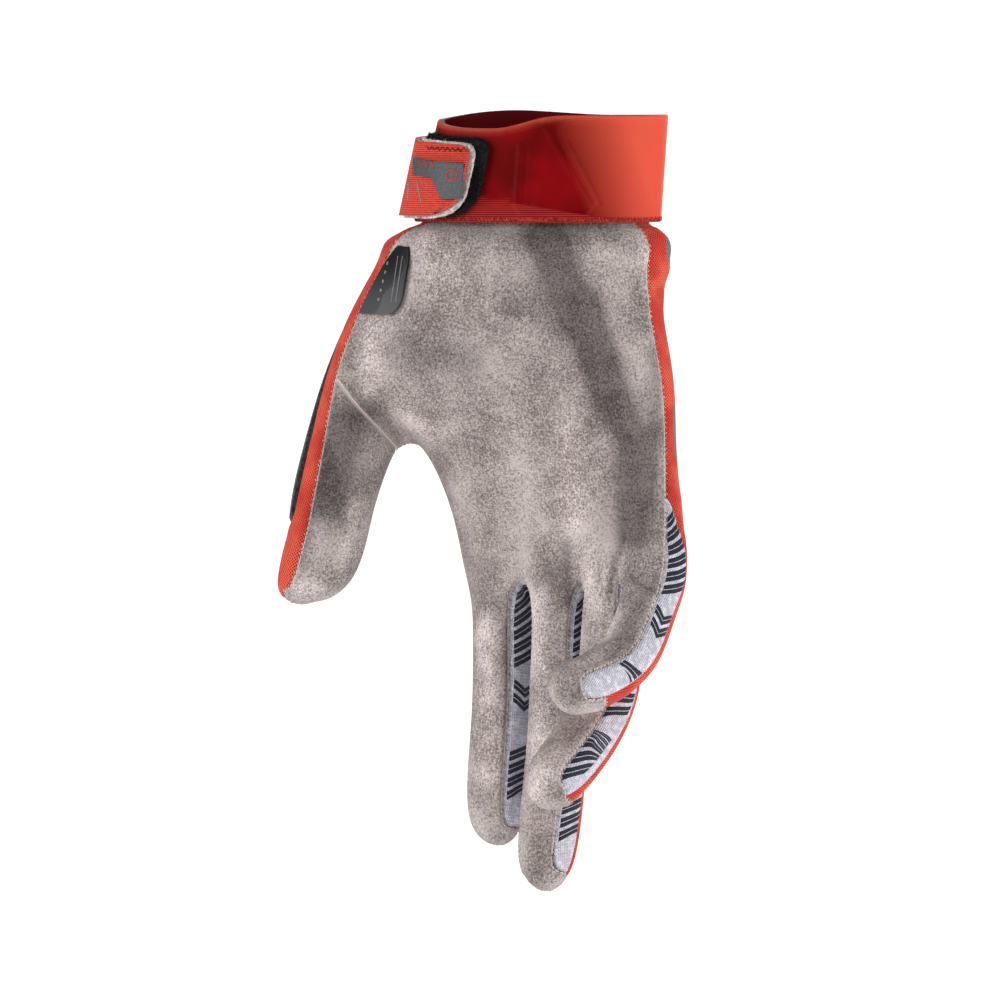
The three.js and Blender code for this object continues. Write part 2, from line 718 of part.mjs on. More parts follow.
// The wrist closure's layers, from the cuff outwards. edge is how far a layer shows past the strap
// tab's end, foot how far below its lower edge, rise how far above its upper edge, and from the angle
// at which it starts. Angles are in degrees round the cuff, as in RIM_ROWS.
const TAB_END_ANGLE = -124;
const CLOSURE_LAYERS = [
  { name: "hook_pad", from: -166, edge: 3.6, foot: 0, rise: 1.8, wall: PAD_WALL, columns: 11 },
  { name: "strap_lining", from: -168, edge: 0.9, foot: 0.7, rise: 0.5, wall: LINING_WALL, columns: 13 },
  { name: "strap_tab", from: -262, edge: 0, foot: 0, rise: 0, wall: TAB_WALL, columns: 24 },
];
const TAB_RAMP = [-190, -169]; // where the tab climbs from the cuff onto the two layers under its end
const CLOSURE_ROWS = 4;

// An angle that runs past -180 comes round again from 180.
const wrapAngle = (angle) => (angle < -180 ? angle + 360 : angle);

// How far outside the cuff the underside of the closure's layer number i lies
function layerOut(i, angle) {
  const under = CLOSURE_LAYERS.slice(0, i).reduce((sum, layer) => sum + layer.wall + FIT_GAP, 0);
  return FIT_GAP + under * THREE.MathUtils.smoothstep(angle, ...TAB_RAMP);
}

// A layer that lies round the cuff, with rounded corners at its end
function layerGeometry(i) {
  const layer = CLOSURE_LAYERS[i];
  const perDegree = cuffPoint(TAB_END_ANGLE, 0.5).distanceTo(cuffPoint(TAB_END_ANGLE - 1, 0.5));
  const to = TAB_END_ANGLE + layer.edge / perDegree;
  const low = seamZ + TAB_FOOT - layer.foot;
  const high = seamZ + TAB_FOOT + TAB_HEIGHT + layer.rise;
  const rounding = (radius, fromEnd) => {
    const into = Math.max(0, radius - fromEnd);
    return radius - Math.sqrt(radius * radius - into * into);
  };
  const grid = (lift) =>
    Array.from({ length: CLOSURE_ROWS }, (_, r) => 1 - r / (CLOSURE_ROWS - 1)).map((v) =>
      Array.from({ length: layer.columns }, (_, c) => {
        const angle = lerp(layer.from, to, 1 - (1 - c / (layer.columns - 1)) ** 1.7);
        const fromEnd = (to - angle) * perDegree;
        const bottom = low + rounding(TAB_LOW_CORNER, fromEnd);
        const top = high - rounding(TAB_TOP_CORNER, fromEnd);
        const share = (lerp(bottom, top, v) - seamZ) / CUFF_HEIGHT;
        return cuffPoint(wrapAngle(angle), share, layerOut(i, angle) + lift);
      }),
    );
  return slabGeometry(grid(layer.wall), grid(0));
}

// Outline of the badge on the tab, in columns from the thumb's side. across is a share of WRIST_WIDTH
// from the cuff's middle, top and bottom are shares of TAB_HEIGHT above the tab's foot.
const BADGE_COLUMNS = [
  { across: -0.606, top: 0.785, bottom: 0.555 },
  { across: -0.565, top: 0.775, bottom: 0.545 },
  { across: -0.522, top: 0.765, bottom: 0.525 },
  { across: -0.482, top: 0.755, bottom: 0.24 },
  { across: -0.43, top: 0.745, bottom: 0.24 },
  { across: -0.385, top: 0.735, bottom: 0.25 },
];
const BADGE_ROWS = 3;

function badgeGeometry() {
  const last = CLOSURE_LAYERS.length - 1;
  const out = layerOut(last, TAB_END_ANGLE) + TAB_WALL + FIT_GAP;
  const grid = (lift) =>
    Array.from({ length: BADGE_ROWS }, (_, r) => r / (BADGE_ROWS - 1)).map((v) =>
      BADGE_COLUMNS.map((column) => {
        const z = seamZ + TAB_FOOT + lerp(column.top, column.bottom, v) * TAB_HEIGHT;
        return cuffFront(column.across * WRIST_WIDTH, z, out + lift);
      }),
    );
  return slabGeometry(grid(BADGE_WALL), grid(0));
}

// The label beside the thumb, from its upper end to its lower. Its outer edge follows the palm's seam,
// and inner is where it ends on the palm, as a share of PALM_WIDTH. z is a share of PALM_LENGTH below the
// cuff seam. The two corners on the palm are rounded.
const LABEL_TOP = { z: 0.072, inner: -0.53 };
const LABEL_FOOT = { z: 0.262, inner: -0.575 };
const LABEL_CELLS = 6;
const LABEL_CORNER = 0.16; // rounding, as a share of the label's height

// The direction that a grid of points faces at each of its points
function gridNormals(grid) {
  const last = (list) => list.length - 1;
  return grid.map((row, r) =>
    row.map((_, c) => {
      const across = row[Math.min(c + 1, last(row))].clone().sub(row[Math.max(c - 1, 0)]);
      const down = grid[Math.min(r + 1, last(grid))][c].clone().sub(grid[Math.max(r - 1, 0)][c]);
      return down.cross(across).normalize();
    }),
  );
}

function labelGeometry(palmGeometry) {
  const target = new THREE.Mesh(palmGeometry, new THREE.MeshBasicMaterial());
  const caster = new THREE.Raycaster();
  const palmAt = (x, z) => {
    caster.set(vec(x, -2 * PALM_DEPTH, z), vec(0, 1, 0));
    return caster.intersectObject(target)[0]?.point;
  };
  const seamX = (z) => {
    let [off, on] = [-PALM_WIDTH, LABEL_TOP.inner * PALM_WIDTH];
    for (let i = 0; i < 24; i++) {
      const middle = (off + on) / 2;
      if (palmAt(middle, z)) on = middle;
      else off = middle;
    }
    return on;
  };
  const steps = Array.from({ length: LABEL_CELLS + 1 }, (_, i) => i / LABEL_CELLS);
  const onPalm = steps.map((v) => {
    const z = seamZ - lerp(LABEL_TOP.z, LABEL_FOOT.z, v) * PALM_LENGTH;
    const into = Math.max(0, LABEL_CORNER - Math.min(v, 1 - v));
    const cut = LABEL_CORNER - Math.sqrt(LABEL_CORNER ** 2 - into ** 2);
    const outer = seamX(z) + LABEL_MARGIN;
    const inner = lerp(lerp(LABEL_TOP.inner, LABEL_FOOT.inner, v) * PALM_WIDTH, outer, cut);
    return steps.map((u) => palmAt(lerp(outer, inner, u), z));
  });
  const normals = gridNormals(onPalm);
  const lifted = (out) =>
    onPalm.map((row, r) => row.map((p, c) => p.clone().addScaledVector(normals[r][c], out)));
  return slabGeometry(lifted(LABEL_GAP + LABEL_WALL), lifted(LABEL_GAP));
}

// Materials, one to each cloth
const cloth = (color, roughness, metalness = 0) =>
  new THREE.MeshStandardMaterial({ color, roughness, metalness });
const materials = {
  suede: cloth(0xa39a92, 0.95),
  mesh: cloth(0xd8351c, 0.8),
  knit: cloth(0xd9d6e2, 0.85),
  neoprene: cloth(0xd0301c, 0.6),
  wipe: cloth(0x1d1b1e, 0.95),
  hook: cloth(0x0d0c0d, 0.9),
  badge: cloth(0x6c6e73, 0.45),
  label: cloth(0x3b3b3f, 0.5),
  felt: cloth(0xc9c4c4, 0.95),
};

// Which cloth each panel of the body is cut from
const PANELS = [
  { name: "palm_panel", wall: SUEDE_WALL, material: materials.suede },
  { name: "thumb_palm_panel", wall: SUEDE_WALL, material: materials.suede },
  { name: "back_panel", wall: MESH_WALL, material: materials.mesh },
  { name: "thumb_back_panel", wall: MESH_WALL, material: materials.mesh },
  { name: "thumb_wipe_pad", wall: MESH_WALL, rise: WIPE_RISE, material: materials.wipe },
  { name: "fourchette_index_middle", wall: KNIT_WALL, material: materials.knit },
  { name: "fourchette_middle_ring", wall: KNIT_WALL, material: materials.knit },
  { name: "fourchette_ring_little", wall: KNIT_WALL, material: materials.knit },
  { name: "little_side_panel", wall: KNIT_WALL, material: materials.knit },
];

buildCage();
const skin = smooth(cage);
evenSeams(skin);
pressDents(skin);
const skinNormals = pointNormals(skin);

const glove = new THREE.Group();

function addPiece(name, geometry, material) {
  const piece = new THREE.Mesh(geometry, material);
  piece.name = name;
  glove.add(piece);
}

for (const panel of PANELS)
  addPiece(panel.name, panelGeometry(skin, skinNormals, panel.name, panel.wall, panel.rise), panel.material);
addPiece("cuff_band", cuffGeometry(), materials.neoprene);
const closureCloths = [materials.hook, materials.felt, materials.mesh];
CLOSURE_LAYERS.forEach((layer, i) => addPiece(layer.name, layerGeometry(i), closureCloths[i]));
addPiece("strap_badge", badgeGeometry(), materials.badge);
addPiece("thumb_label", labelGeometry(glove.getObjectByName("palm_panel").geometry), materials.label);

export default glove;
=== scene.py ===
# %% [markdown]
# A mountain bike glove. The frame holds its cut panels, cuff, strap, badge and label as plain faceted
# solids. This lesson dresses them: the panels become one smooth skin that is cut apart again at its seams,
# and each cloth gets its thickness, folds, stitching and finish.

# %% Load the frame
import math
from contextlib import contextmanager

import bmesh
import bpy
import numpy as np
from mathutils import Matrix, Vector, noise
from mathutils.bvhtree import BVHTree
from mathutils.kdtree import KDTree


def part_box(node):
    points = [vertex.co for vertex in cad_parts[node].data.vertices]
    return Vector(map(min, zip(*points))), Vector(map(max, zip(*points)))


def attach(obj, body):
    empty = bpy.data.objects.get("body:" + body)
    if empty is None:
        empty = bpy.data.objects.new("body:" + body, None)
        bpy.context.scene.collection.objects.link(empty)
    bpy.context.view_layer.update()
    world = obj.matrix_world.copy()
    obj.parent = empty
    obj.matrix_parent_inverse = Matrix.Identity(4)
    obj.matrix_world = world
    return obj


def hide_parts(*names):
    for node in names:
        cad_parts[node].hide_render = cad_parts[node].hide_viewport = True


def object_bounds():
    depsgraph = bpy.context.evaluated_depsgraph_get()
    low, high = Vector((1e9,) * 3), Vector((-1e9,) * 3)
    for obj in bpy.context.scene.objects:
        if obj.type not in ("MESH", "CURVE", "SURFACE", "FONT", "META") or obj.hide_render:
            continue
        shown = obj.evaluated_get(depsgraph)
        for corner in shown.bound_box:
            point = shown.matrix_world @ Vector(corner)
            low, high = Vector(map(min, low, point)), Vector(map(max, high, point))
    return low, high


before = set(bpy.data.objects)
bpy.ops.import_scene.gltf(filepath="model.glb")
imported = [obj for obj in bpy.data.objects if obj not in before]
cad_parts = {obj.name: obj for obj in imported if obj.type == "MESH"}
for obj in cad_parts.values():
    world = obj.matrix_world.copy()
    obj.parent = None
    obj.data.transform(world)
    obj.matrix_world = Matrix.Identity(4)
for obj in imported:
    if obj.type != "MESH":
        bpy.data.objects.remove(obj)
cad_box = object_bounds()
MM = 0.001
print("CAD box", [[round(x, 4) for x in corner] for corner in cad_box])

# %% [markdown]
# The photograph was taken from the palm side with a long lens, a little above the middle of the hand. One
# of its pixels spans 0.29 mm at the glove, and its frame is 1000 pixels wide.

# %% Camera
PIXEL = 0.29 * MM
PHOTO_SIDE = 1000
WRIST_PIXEL = (553, 115)  # the middle of the wrist opening in the photograph
CAMERA_DISTANCE = 2.0
CAMERA_RISE = math.radians(3)
SENSOR = 36

middle_pixel = PHOTO_SIDE / 2
target = Vector(((middle_pixel - WRIST_PIXEL[0]) * PIXEL, 0, -(middle_pixel - WRIST_PIXEL[1]) * PIXEL))
towards_camera = Vector((0, -math.cos(CAMERA_RISE), math.sin(CAMERA_RISE)))
bpy.ops.object.camera_add(location=target + towards_camera * CAMERA_DISTANCE)
camera = bpy.context.object
camera.rotation_euler = (-towards_camera).to_track_quat("-Z", "Y").to_euler()
camera.data.sensor_width = SENSOR
camera.data.lens = SENSOR * CAMERA_DISTANCE / (PHOTO_SIDE * PIXEL)
bpy.context.scene.camera = camera
print("lens", round(camera.data.lens, 1), "mm")

# %% [markdown]
# Soft studio light. Two large lights stand left and right of the glove, so that the side faces are bright
# and the middle of the cuff stays deeper in colour, with a weaker one above the camera. The floor is pale
# and well below the fingertips. The air looks white but gives little light itself, or the cloth would look
# flat.

# %% Lights, floor and background
LIGHTS = {  # place from the middle of the photograph, side and power in watts
    "left": ((-0.85, -0.38, 0.25), 0.5, 6.5),
    "right": ((0.9, -0.3, 0.15), 0.5, 7.5),
    "front": ((-0.15, -1.1, 0.7), 0.6, 3.2),
    "back": ((0.1, 0.95, 0.35), 0.8, 6.0),
}
FLOOR_DROP = 0.25  # below the fingertips
FLOOR_SIDE = 3.0  # small enough that its far edge stays below the camera's frame
FLOOR_COLOUR = (0.9, 0.9, 0.9, 1)
FLOOR_GLOW = 0.5
WHITE = (1, 1, 1, 1)
AIR_LIGHT = 0.14  # what the air gives to the glove
AIR_SEEN = 1.2  # how bright the camera sees it

for name, (away, side, watts) in LIGHTS.items():
    bpy.ops.object.light_add(type="AREA", location=target + Vector(away))
    lamp = bpy.context.object
    lamp.name = "light_" + name
    lamp.rotation_euler = (-Vector(away)).to_track_quat("-Z", "Y").to_euler()
    lamp.data.size = side
    lamp.data.energy = watts

bpy.ops.mesh.primitive_plane_add(size=FLOOR_SIDE, location=(0, 0, cad_box[0].z - FLOOR_DROP))
floor = bpy.context.object
floor.name = "floor"
floor_paint = bpy.data.materials.new("floor_white")
floor_paint.use_nodes = True
floor_sockets = floor_paint.node_tree.nodes["Principled BSDF"].inputs
floor_sockets["Base Color"].default_value = FLOOR_COLOUR
floor_sockets["Roughness"].default_value = 1
floor_sockets["Emission Color"].default_value = WHITE
floor_sockets["Emission Strength"].default_value = FLOOR_GLOW
floor.data.materials.append(floor_paint)

world = bpy.data.worlds.new("white_air")
bpy.context.scene.world = world
world.use_nodes = True
nodes = world.node_tree.nodes
links = world.node_tree.links
airs = (nodes["Background"], nodes.new("ShaderNodeBackground"))
ray_kind = nodes.new("ShaderNodeLightPath")
air_mix = nodes.new("ShaderNodeMixShader")
links.new(ray_kind.outputs["Is Camera Ray"], air_mix.inputs["Fac"])
for i, (air, strength) in enumerate(zip(airs, (AIR_LIGHT, AIR_SEEN))):
    air.inputs["Color"].default_value = WHITE
    air.inputs["Strength"].default_value = strength
    links.new(air.outputs["Background"], air_mix.inputs[1 + i])
links.new(air_mix.outputs["Shader"], nodes["World Output"].inputs["Surface"])
bpy.context.scene.view_settings.view_transform = "Standard"
print("lights:", ", ".join(LIGHTS))

# %% [markdown]
# A few helpers to begin with. A piece starts as a copy of its CAD node's mesh. That mesh is loose
# triangles, so the copy is merged before anything else. Everything is deselected first, because an
# operator acts on all that is selected.


# %% Helpers for copying and selecting
def select_only(*pieces):
    bpy.ops.object.select_all(action="DESELECT")
    for piece in pieces:
        piece.select_set(True)
    bpy.context.view_layer.objects.active = pieces[0]


@contextmanager
def edit_mode(piece, action="SELECT", kind="VERT"):
    """Runs the lines under a with statement in edit mode, with everything selected or nothing."""
    select_only(piece)
    bpy.ops.object.mode_set(mode="EDIT")
    bpy.ops.mesh.select_mode(type=kind)
    bpy.ops.mesh.select_all(action=action)
    yield
    bpy.ops.object.mode_set(mode="OBJECT")


def new_piece(name, data):
    piece = bpy.data.objects.new(name, data)
    bpy.context.scene.collection.objects.link(piece)
    select_only(piece)
    return piece


def copy_node(node, name):
    piece = new_piece(name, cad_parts[node].data.copy())
    piece.data.materials.clear()
    with edit_mode(piece):
        bpy.ops.mesh.remove_doubles(threshold=0.001 * MM)
    return piece


def add_rounds(piece, rounds):
    rounding = piece.modifiers.new("rounding", "SUBSURF")
    rounding.levels = rounds
    rounding.render_levels = rounds


def apply_all(piece):
    select_only(piece)
    for modifier in list(piece.modifiers):
        bpy.ops.object.modifier_apply(modifier=modifier.name)


def read_vectors(rows, name):
    vectors = np.empty(len(rows) * 3)
    rows.foreach_get(name, vectors)
    return vectors.reshape(-1, 3)


def read_points(piece):
    return read_vectors(piece.data.vertices, "co")


def read_normals(piece):
    return read_vectors(piece.data.vertex_normals, "vector")


def write_points(piece, points):
    piece.data.vertices.foreach_set("co", points.ravel())
    piece.data.update()


def make_quads(piece):
    with edit_mode(piece):
        for degrees in (70, 180):  # the plain pairs first, then what is left
            limit = math.radians(degrees)
            bpy.ops.mesh.tris_convert_to_quads(face_threshold=limit, shape_threshold=limit, materials=True)


def refine(piece, wanted):
    """Divides each face whose corners are all wanted."""
    select_only(piece)
    bpy.ops.object.mode_set(mode="EDIT")
    bpy.ops.mesh.select_mode(type="FACE")
    bpy.ops.mesh.select_all(action="DESELECT")
    bpy.ops.object.mode_set(mode="OBJECT")
    for face in piece.data.polygons:
        face.select = all(wanted[i] for i in face.vertices)
    bpy.ops.object.mode_set(mode="EDIT")
    bpy.ops.mesh.subdivide(number_cuts=1, smoothness=0)
    bpy.ops.object.mode_set(mode="OBJECT")


def count_triangles(piece):
    piece.data.calc_loop_triangles()
    return len(piece.data.loop_triangles)


# %% [markdown]
# Each CAD panel is a closed slab: an outer skin, an inner skin, and a narrow wall between them all the way
# round. Only the outer skin is wanted here, because the cloth's thickness comes back at the end. The
# wall's faces are known by one edge that is exactly as long as the cloth is thick.

# %% Outer skin of every panel
SUEDE = 1.2 * MM
MESH = 1.2 * MM
KNIT = 1.1 * MM
WIPE_RISE = 1.4 * MM
PANELS = {
    "palm_panel": {"wall": SUEDE, "cloth": "suede", "piece": "palm_suede"},
    "thumb_palm_panel": {"wall": SUEDE, "cloth": "suede", "piece": "thumb_suede"},
    "back_panel": {"wall": MESH, "cloth": "mesh", "piece": "back_mesh"},
    "thumb_back_panel": {"wall": MESH, "cloth": "mesh", "piece": "thumb_mesh"},
    "thumb_wipe_pad": {"wall": MESH + WIPE_RISE, "cloth": "wipe", "piece": "thumb_wipe"},
    "fourchette_index_middle": {"wall": KNIT, "cloth": "knit", "piece": "knit_index_middle"},
    "fourchette_middle_ring": {"wall": KNIT, "cloth": "knit", "piece": "knit_middle_ring"},
    "fourchette_ring_little": {"wall": KNIT, "cloth": "knit", "piece": "knit_ring_little"},
    "little_side_panel": {"wall": KNIT, "cloth": "knit", "piece": "knit_little_side"},
}
WALL_MATCH = 0.003 * MM


def delete_wall(piece, wall):
    bm = bmesh.new()
    bm.from_mesh(piece.data)
    rim = [f for f in bm.faces if any(abs(e.calc_length() - wall) < WALL_MATCH for e in f.edges)]
    bmesh.ops.delete(bm, geom=rim, context="FACES")
    bm.to_mesh(piece.data)
    bm.free()
    return len(rim)


def surface_area(piece):
    return sum(face.area for face in piece.data.polygons)


def outer_skin(node):
    piece = copy_node(node, "skin_" + node)
    rim = delete_wall(piece, PANELS[node]["wall"])
    select_only(piece)
    bpy.ops.mesh.separate(type="LOOSE")
    parts = sorted(bpy.context.selected_objects, key=surface_area)
    skin = parts[-1]
    for part in parts[:-1]:
        bpy.data.objects.remove(part)
    print(node, "wall faces", rim, "parts", len(parts), "skin faces", len(skin.data.polygons))
    return skin


skins = {node: outer_skin(node) for node in PANELS}

# %% [markdown]
# The soft thumb pad stands proud of its neighbours, so its skin is lowered first. Then the nine skins are
# joined, and the two edges at each seam, 0.4 mm apart, are merged into one. A material slot for each panel
# keeps track of who is who. Pairs of triangles become the four-sided faces that they once were, because
# those subdivide smoothly.

# %% One skin for the whole hand
SEAM_REACH = 0.6 * MM

pad = skins["thumb_wipe_pad"]
write_points(pad, read_points(pad) - read_normals(pad) * WIPE_RISE)
for node, skin in skins.items():
    skin.data.materials.append(bpy.data.materials.new("marker_" + node))
select_only(*skins.values())
bpy.ops.object.join()
hand = bpy.context.object
hand.name = "hand_skin"
with edit_mode(hand, "DESELECT", "EDGE"):
    bpy.ops.mesh.select_non_manifold()
    bpy.ops.mesh.remove_doubles(threshold=SEAM_REACH)
    bpy.ops.mesh.select_all(action="SELECT")
    bpy.ops.mesh.normals_make_consistent(inside=False)
make_quads(hand)
sides = [len(face.vertices) for face in hand.data.polygons]
print("hand skin: quads", sides.count(4), "triangles", sides.count(3))

# %% [markdown]
# The skin is still coarse, with faces of about 4 mm. Two rounds of subdivision give a smooth surface. The
# seams still turn square corners at the fingertips, where a tailor cuts curves. So each seam is evened out
# along its own length, the cloth beside it follows, and every moved point is laid back on the old surface.

# %% Smooth the skin and round the seams
SMOOTH_ROUNDS = 2
SEAM_ROUNDS = 26
BAND = 7 * MM  # the cloth beside a seam that follows it
BAND_ROUNDS = 40
MESH_LAP = 3.0 * MM  # how far the mesh reaches over the finger sides
WRAPPED_TIPS = [((7, -50, -172), 10), ((-2, -40, -201), 9)]  # undersides of two fingertips, and reach, in mm


def seam_edges(skin, wanted=None):
    """The edges between two panels, as pairs of vertex numbers. wanted may choose among panel pairs."""
    sides = {}
    for face in skin.data.polygons:
        for key in face.edge_keys:
            sides.setdefault(key, set()).add(face.material_index)
    return [key for key, used in sides.items() if len(used) > 1 and (wanted is None or wanted(used))]


def tree_of(points):
    tree = KDTree(len(points))
    for i, point in enumerate(points):
        tree.insert(point, i)
    tree.balance()
    return tree


def distances(points, tree):
    return np.array([tree.find(point)[2] for point in points])


def even_out(points, pairs, free, rounds):
    """Moves each free point halfway to the middle of its neighbours, again and again."""
    counts = np.bincount(pairs.ravel(), minlength=len(points))
    counts = np.maximum(counts, 1)[:, None]
    for _ in range(rounds):
        sums = np.zeros_like(points)
        np.add.at(sums, pairs[:, 0], points[pairs[:, 1]])
        np.add.at(sums, pairs[:, 1], points[pairs[:, 0]])
        points[free] += 0.5 * (sums / counts - points)[free]
    return points


def round_seams(skin, seam_rounds, band_rounds):
    surface = BVHTree.FromObject(skin, bpy.context.evaluated_depsgraph_get())
    points = read_points(skin)
    seam = np.array(seam_edges(skin))
    meets = np.bincount(seam.ravel(), minlength=len(points))
    points = even_out(points, seam, meets == 2, seam_rounds)
    near = distances(points, tree_of(points[meets > 0])) < BAND
    open_border = np.zeros(len(points), bool)
    sides = {}
    for face in skin.data.polygons:
        for key in face.edge_keys:
            sides[key] = sides.get(key, 0) + 1
    for key, count in sides.items():
        if count == 1:
            open_border[list(key)] = True
    all_edges = np.array(list(sides))
    points = even_out(points, all_edges, near & (meets == 0) & ~open_border, band_rounds)
    for i in np.flatnonzero(near & ~open_border):
        points[i] = surface.find_nearest(points[i])[0]
    write_points(skin, points)
    return int(near.sum())


def widen_mesh(skin):
    """The mesh laps a little way over the finger sides, so their nearest faces join it."""
    knit_owners = {skin.data.materials.find("marker_" + node): node for node in PANELS}
    is_knit = {index for index, node in knit_owners.items() if PANELS[node]["cloth"] == "knit"}
    mesh_index = skin.data.materials.find("marker_back_panel")
    points = read_points(skin)
    seam = seam_edges(skin, lambda used: mesh_index in used and used & is_knit)
    tree = tree_of(points[np.unique(np.array(seam))])
    taken = 0
    for face in skin.data.polygons:
        if face.material_index in is_knit and tree.find(face.center)[2] < MESH_LAP:
            face.material_index = mesh_index
            taken += 1
    return taken


def wrap_tips(skin):
    """The suede wraps the curled fingertips, so the mesh faces near them join the palm."""
    mesh_index, suede_index = (skin.data.materials.find("marker_" + n) for n in ("back_panel", "palm_panel"))
    given = 0
    for face in skin.data.polygons:
        if face.material_index == mesh_index:
            if any((face.center - Vector(tip) * MM).length < reach * MM for tip, reach in WRAPPED_TIPS):
                face.material_index = suede_index
                given += 1
    return given


add_rounds(hand, SMOOTH_ROUNDS)
apply_all(hand)
print("faces given to the mesh:", widen_mesh(hand), "and to the suede:", wrap_tips(hand))
print("seams rounded, vertices laid back:", round_seams(hand, SEAM_ROUNDS, BAND_ROUNDS))

# %% [markdown]
# The strip along each seam gets one more division, because the seams' grooves and rolled edges are only a
# millimetre wide.

# %% Refine the strips along the seams
FINE_STRIP = 2.6 * MM
LAST_SEAM_ROUNDS = 3
LAST_BAND_ROUNDS = 1

seam_vertices = np.unique(np.array(seam_edges(hand)))
near = distances(read_points(hand), tree_of(read_points(hand)[seam_vertices])) < FINE_STRIP
refine(hand, near)
round_seams(hand, LAST_SEAM_ROUNDS, LAST_BAND_ROUNDS)
print("smooth skin:", len(hand.data.polygons), "faces,", count_triangles(hand), "triangles")

# %% [markdown]
# Folds are pressed in where the photograph shows them. Each vertex is first projected to the pixel at which
# the camera sees it, and a ray tells whether it is seen at all. A fold is then a line between pixels: near
# it, the skin moves along its own direction, in for a groove and out for a ridge.

# %% Where the camera sees each vertex
right = Vector((1, 0, 0))
up = right.cross(-towards_camera)
eye = target + towards_camera * CAMERA_DISTANCE
FOCUS = CAMERA_DISTANCE / PIXEL


def photo_pixels(points):
    seen = points - np.array(eye)
    depth = -seen @ np.array(towards_camera)
    across = middle_pixel + FOCUS * (seen @ np.array(right)) / depth
    down = middle_pixel - FOCUS * (seen @ np.array(up)) / depth
    return np.column_stack([across, down])


SIGHT_MARGIN = 1.0 * MM


def seen_from_camera(piece):
    tree = BVHTree.FromObject(piece, bpy.context.evaluated_depsgraph_get())
    seen = []
    for point in piece.data.vertices:
        ray = point.co - eye
        hit = tree.ray_cast(eye, ray.normalized())
        seen.append(hit[3] is not None and hit[3] > ray.length - SIGHT_MARGIN)
    return np.array(seen)


# %% [markdown]
# The folds are kept as a table of lines, so that each can be moved alone. The cloth also swells out a little
# where it leaves the cuff, unevenly, and more on the little finger's side.

# %% Press in the folds
FOLDS = {  # line between pixels, depth in mm, reach in pixels
    "thumb_crease": (((338, 490), (392, 468)), 0.7, 7),
    "thumb_crease_ridge": (((330, 507), (388, 484)), -1.0, 6),
    "web_fold": (((356, 388), (380, 404), (408, 440)), 1.2, 6),
    "web_ridge": (((372, 378), (396, 398), (420, 432)), -1.0, 9),
    "little_wrinkle": (((634, 577), (655, 591)), 1.3, 3.5),
    "little_wrinkle_ridge": (((632, 586), (650, 600)), -0.8, 4),
    "little_fold": (((626, 536), (618, 560), (612, 592)), 1.2, 4),
    "little_fold_ridge": (((640, 548), (632, 575), (622, 604)), -0.9, 6),
    "little_lower_ridge": (((588, 655), (622, 640)), -1.0, 4),
    "little_lower_valley": (((590, 664), (628, 650)), 0.7, 4),
    "middle_tip_valley": (((546, 832), (556, 876)), 1.0, 4),
    "ring_root_valley": (((606, 500), (600, 585)), 1.0, 7),
    "middle_root_valley": (((560, 540), (556, 610)), 0.5, 8),
    "index_fork": (((520, 552), (528, 592)), 1.0, 4.5),
    "ring_fold": (((566, 742), (588, 716)), 0.7, 4),
    "palm_valley": (((618, 300), (612, 420), (600, 500)), 1.0, 18),
    "palm_rim": (((646, 300), (648, 420), (640, 520)), -0.6, 10),
    "cuff_tuck_left": (((440, 228), (452, 262)), 0.5, 6),
    "cuff_tuck_right": (((600, 226), (596, 256)), 0.4, 7),
}
GATHER = 1.5  # how far the cloth swells out below the cuff, in mm
GATHER_HEIGHT = -37
GATHER_REACH = 4.5
BULGE = 2.0  # and more on the little finger's side
BULGE_HEIGHT = -43
BULGE_REACH = 9
BULGE_START = 18  # mm across the hand
BULGE_FADE = 12
SWELL_START = -31.5  # just below the cuff's foot
SWELL_FADE = 2
RIPPLE = 0.5  # how uneven the swelling is
RIPPLE_SIZE = 6 * MM
TURN_FADE = 2.2  # a fold fades where the skin turns away from the camera


def hill(values):
    """1 at 0, and a soft fall to 0 on both sides."""
    return np.exp(-(values**2))


def distance_to_line(pixels, line):
    best = np.full(len(pixels), np.inf)
    for start, end in zip(line[:-1], line[1:]):
        start, end = np.array(start, float), np.array(end, float)
        along = end - start
        share = np.clip((pixels - start) @ along / (along @ along), 0, 1)
        best = np.minimum(best, np.linalg.norm(pixels - start - share[:, None] * along, axis=1))
    return best


def near_line(pixels, line, reach):
    return hill(distance_to_line(pixels, line) / reach)


def press(piece, lines, mask):
    """Presses lines between pixels into a piece where the mask allows. A negative depth raises them."""
    points = read_points(piece)
    normals = read_normals(piece)
    pixels = photo_pixels(points)
    for line, depth, reach in lines:
        points -= normals * (near_line(pixels, line, reach) * mask * depth * MM)[:, None]
    write_points(piece, points)


points = read_points(hand)
heights = points[:, 2] / MM
side = np.clip((points[:, 0] / MM - BULGE_START) / BULGE_FADE, 0, 1)
swell = GATHER * hill((heights - GATHER_HEIGHT) / GATHER_REACH)
swell += BULGE * side * hill((heights - BULGE_HEIGHT) / BULGE_REACH)
swell *= np.clip((SWELL_START - heights) / SWELL_FADE, 0, 1)
ripple = np.array([noise.noise(Vector(point) / RIPPLE_SIZE) for point in points])
write_points(hand, points + read_normals(hand) * (swell * (1 + RIPPLE * ripple) * MM)[:, None])

sight = seen_from_camera(hand) * np.clip(read_normals(hand) @ np.array(towards_camera) * TURN_FADE, 0, 1)
press(hand, FOLDS.values(), sight)
print("folds:", len(FOLDS), "vertices seen:", int((sight > 0).sum()), "of", len(sight))

# %% [markdown]
# Stitches need the line of each seam, in order from one end to the other. The edges between two kinds of
# cloth are collected while the skin is still whole, and walked from end to end.

# %% Walk along the seams
CLOTH_NODES = {
    cloth: {node for node, panel in PANELS.items() if panel["cloth"] == cloth}
    for cloth in ("suede", "mesh", "knit", "wipe")
}
panel_of = [slot.name.replace("marker_", "") for slot in hand.data.materials]
SHORT_RUN = 3  # vertices, no more than a corner where seams meet


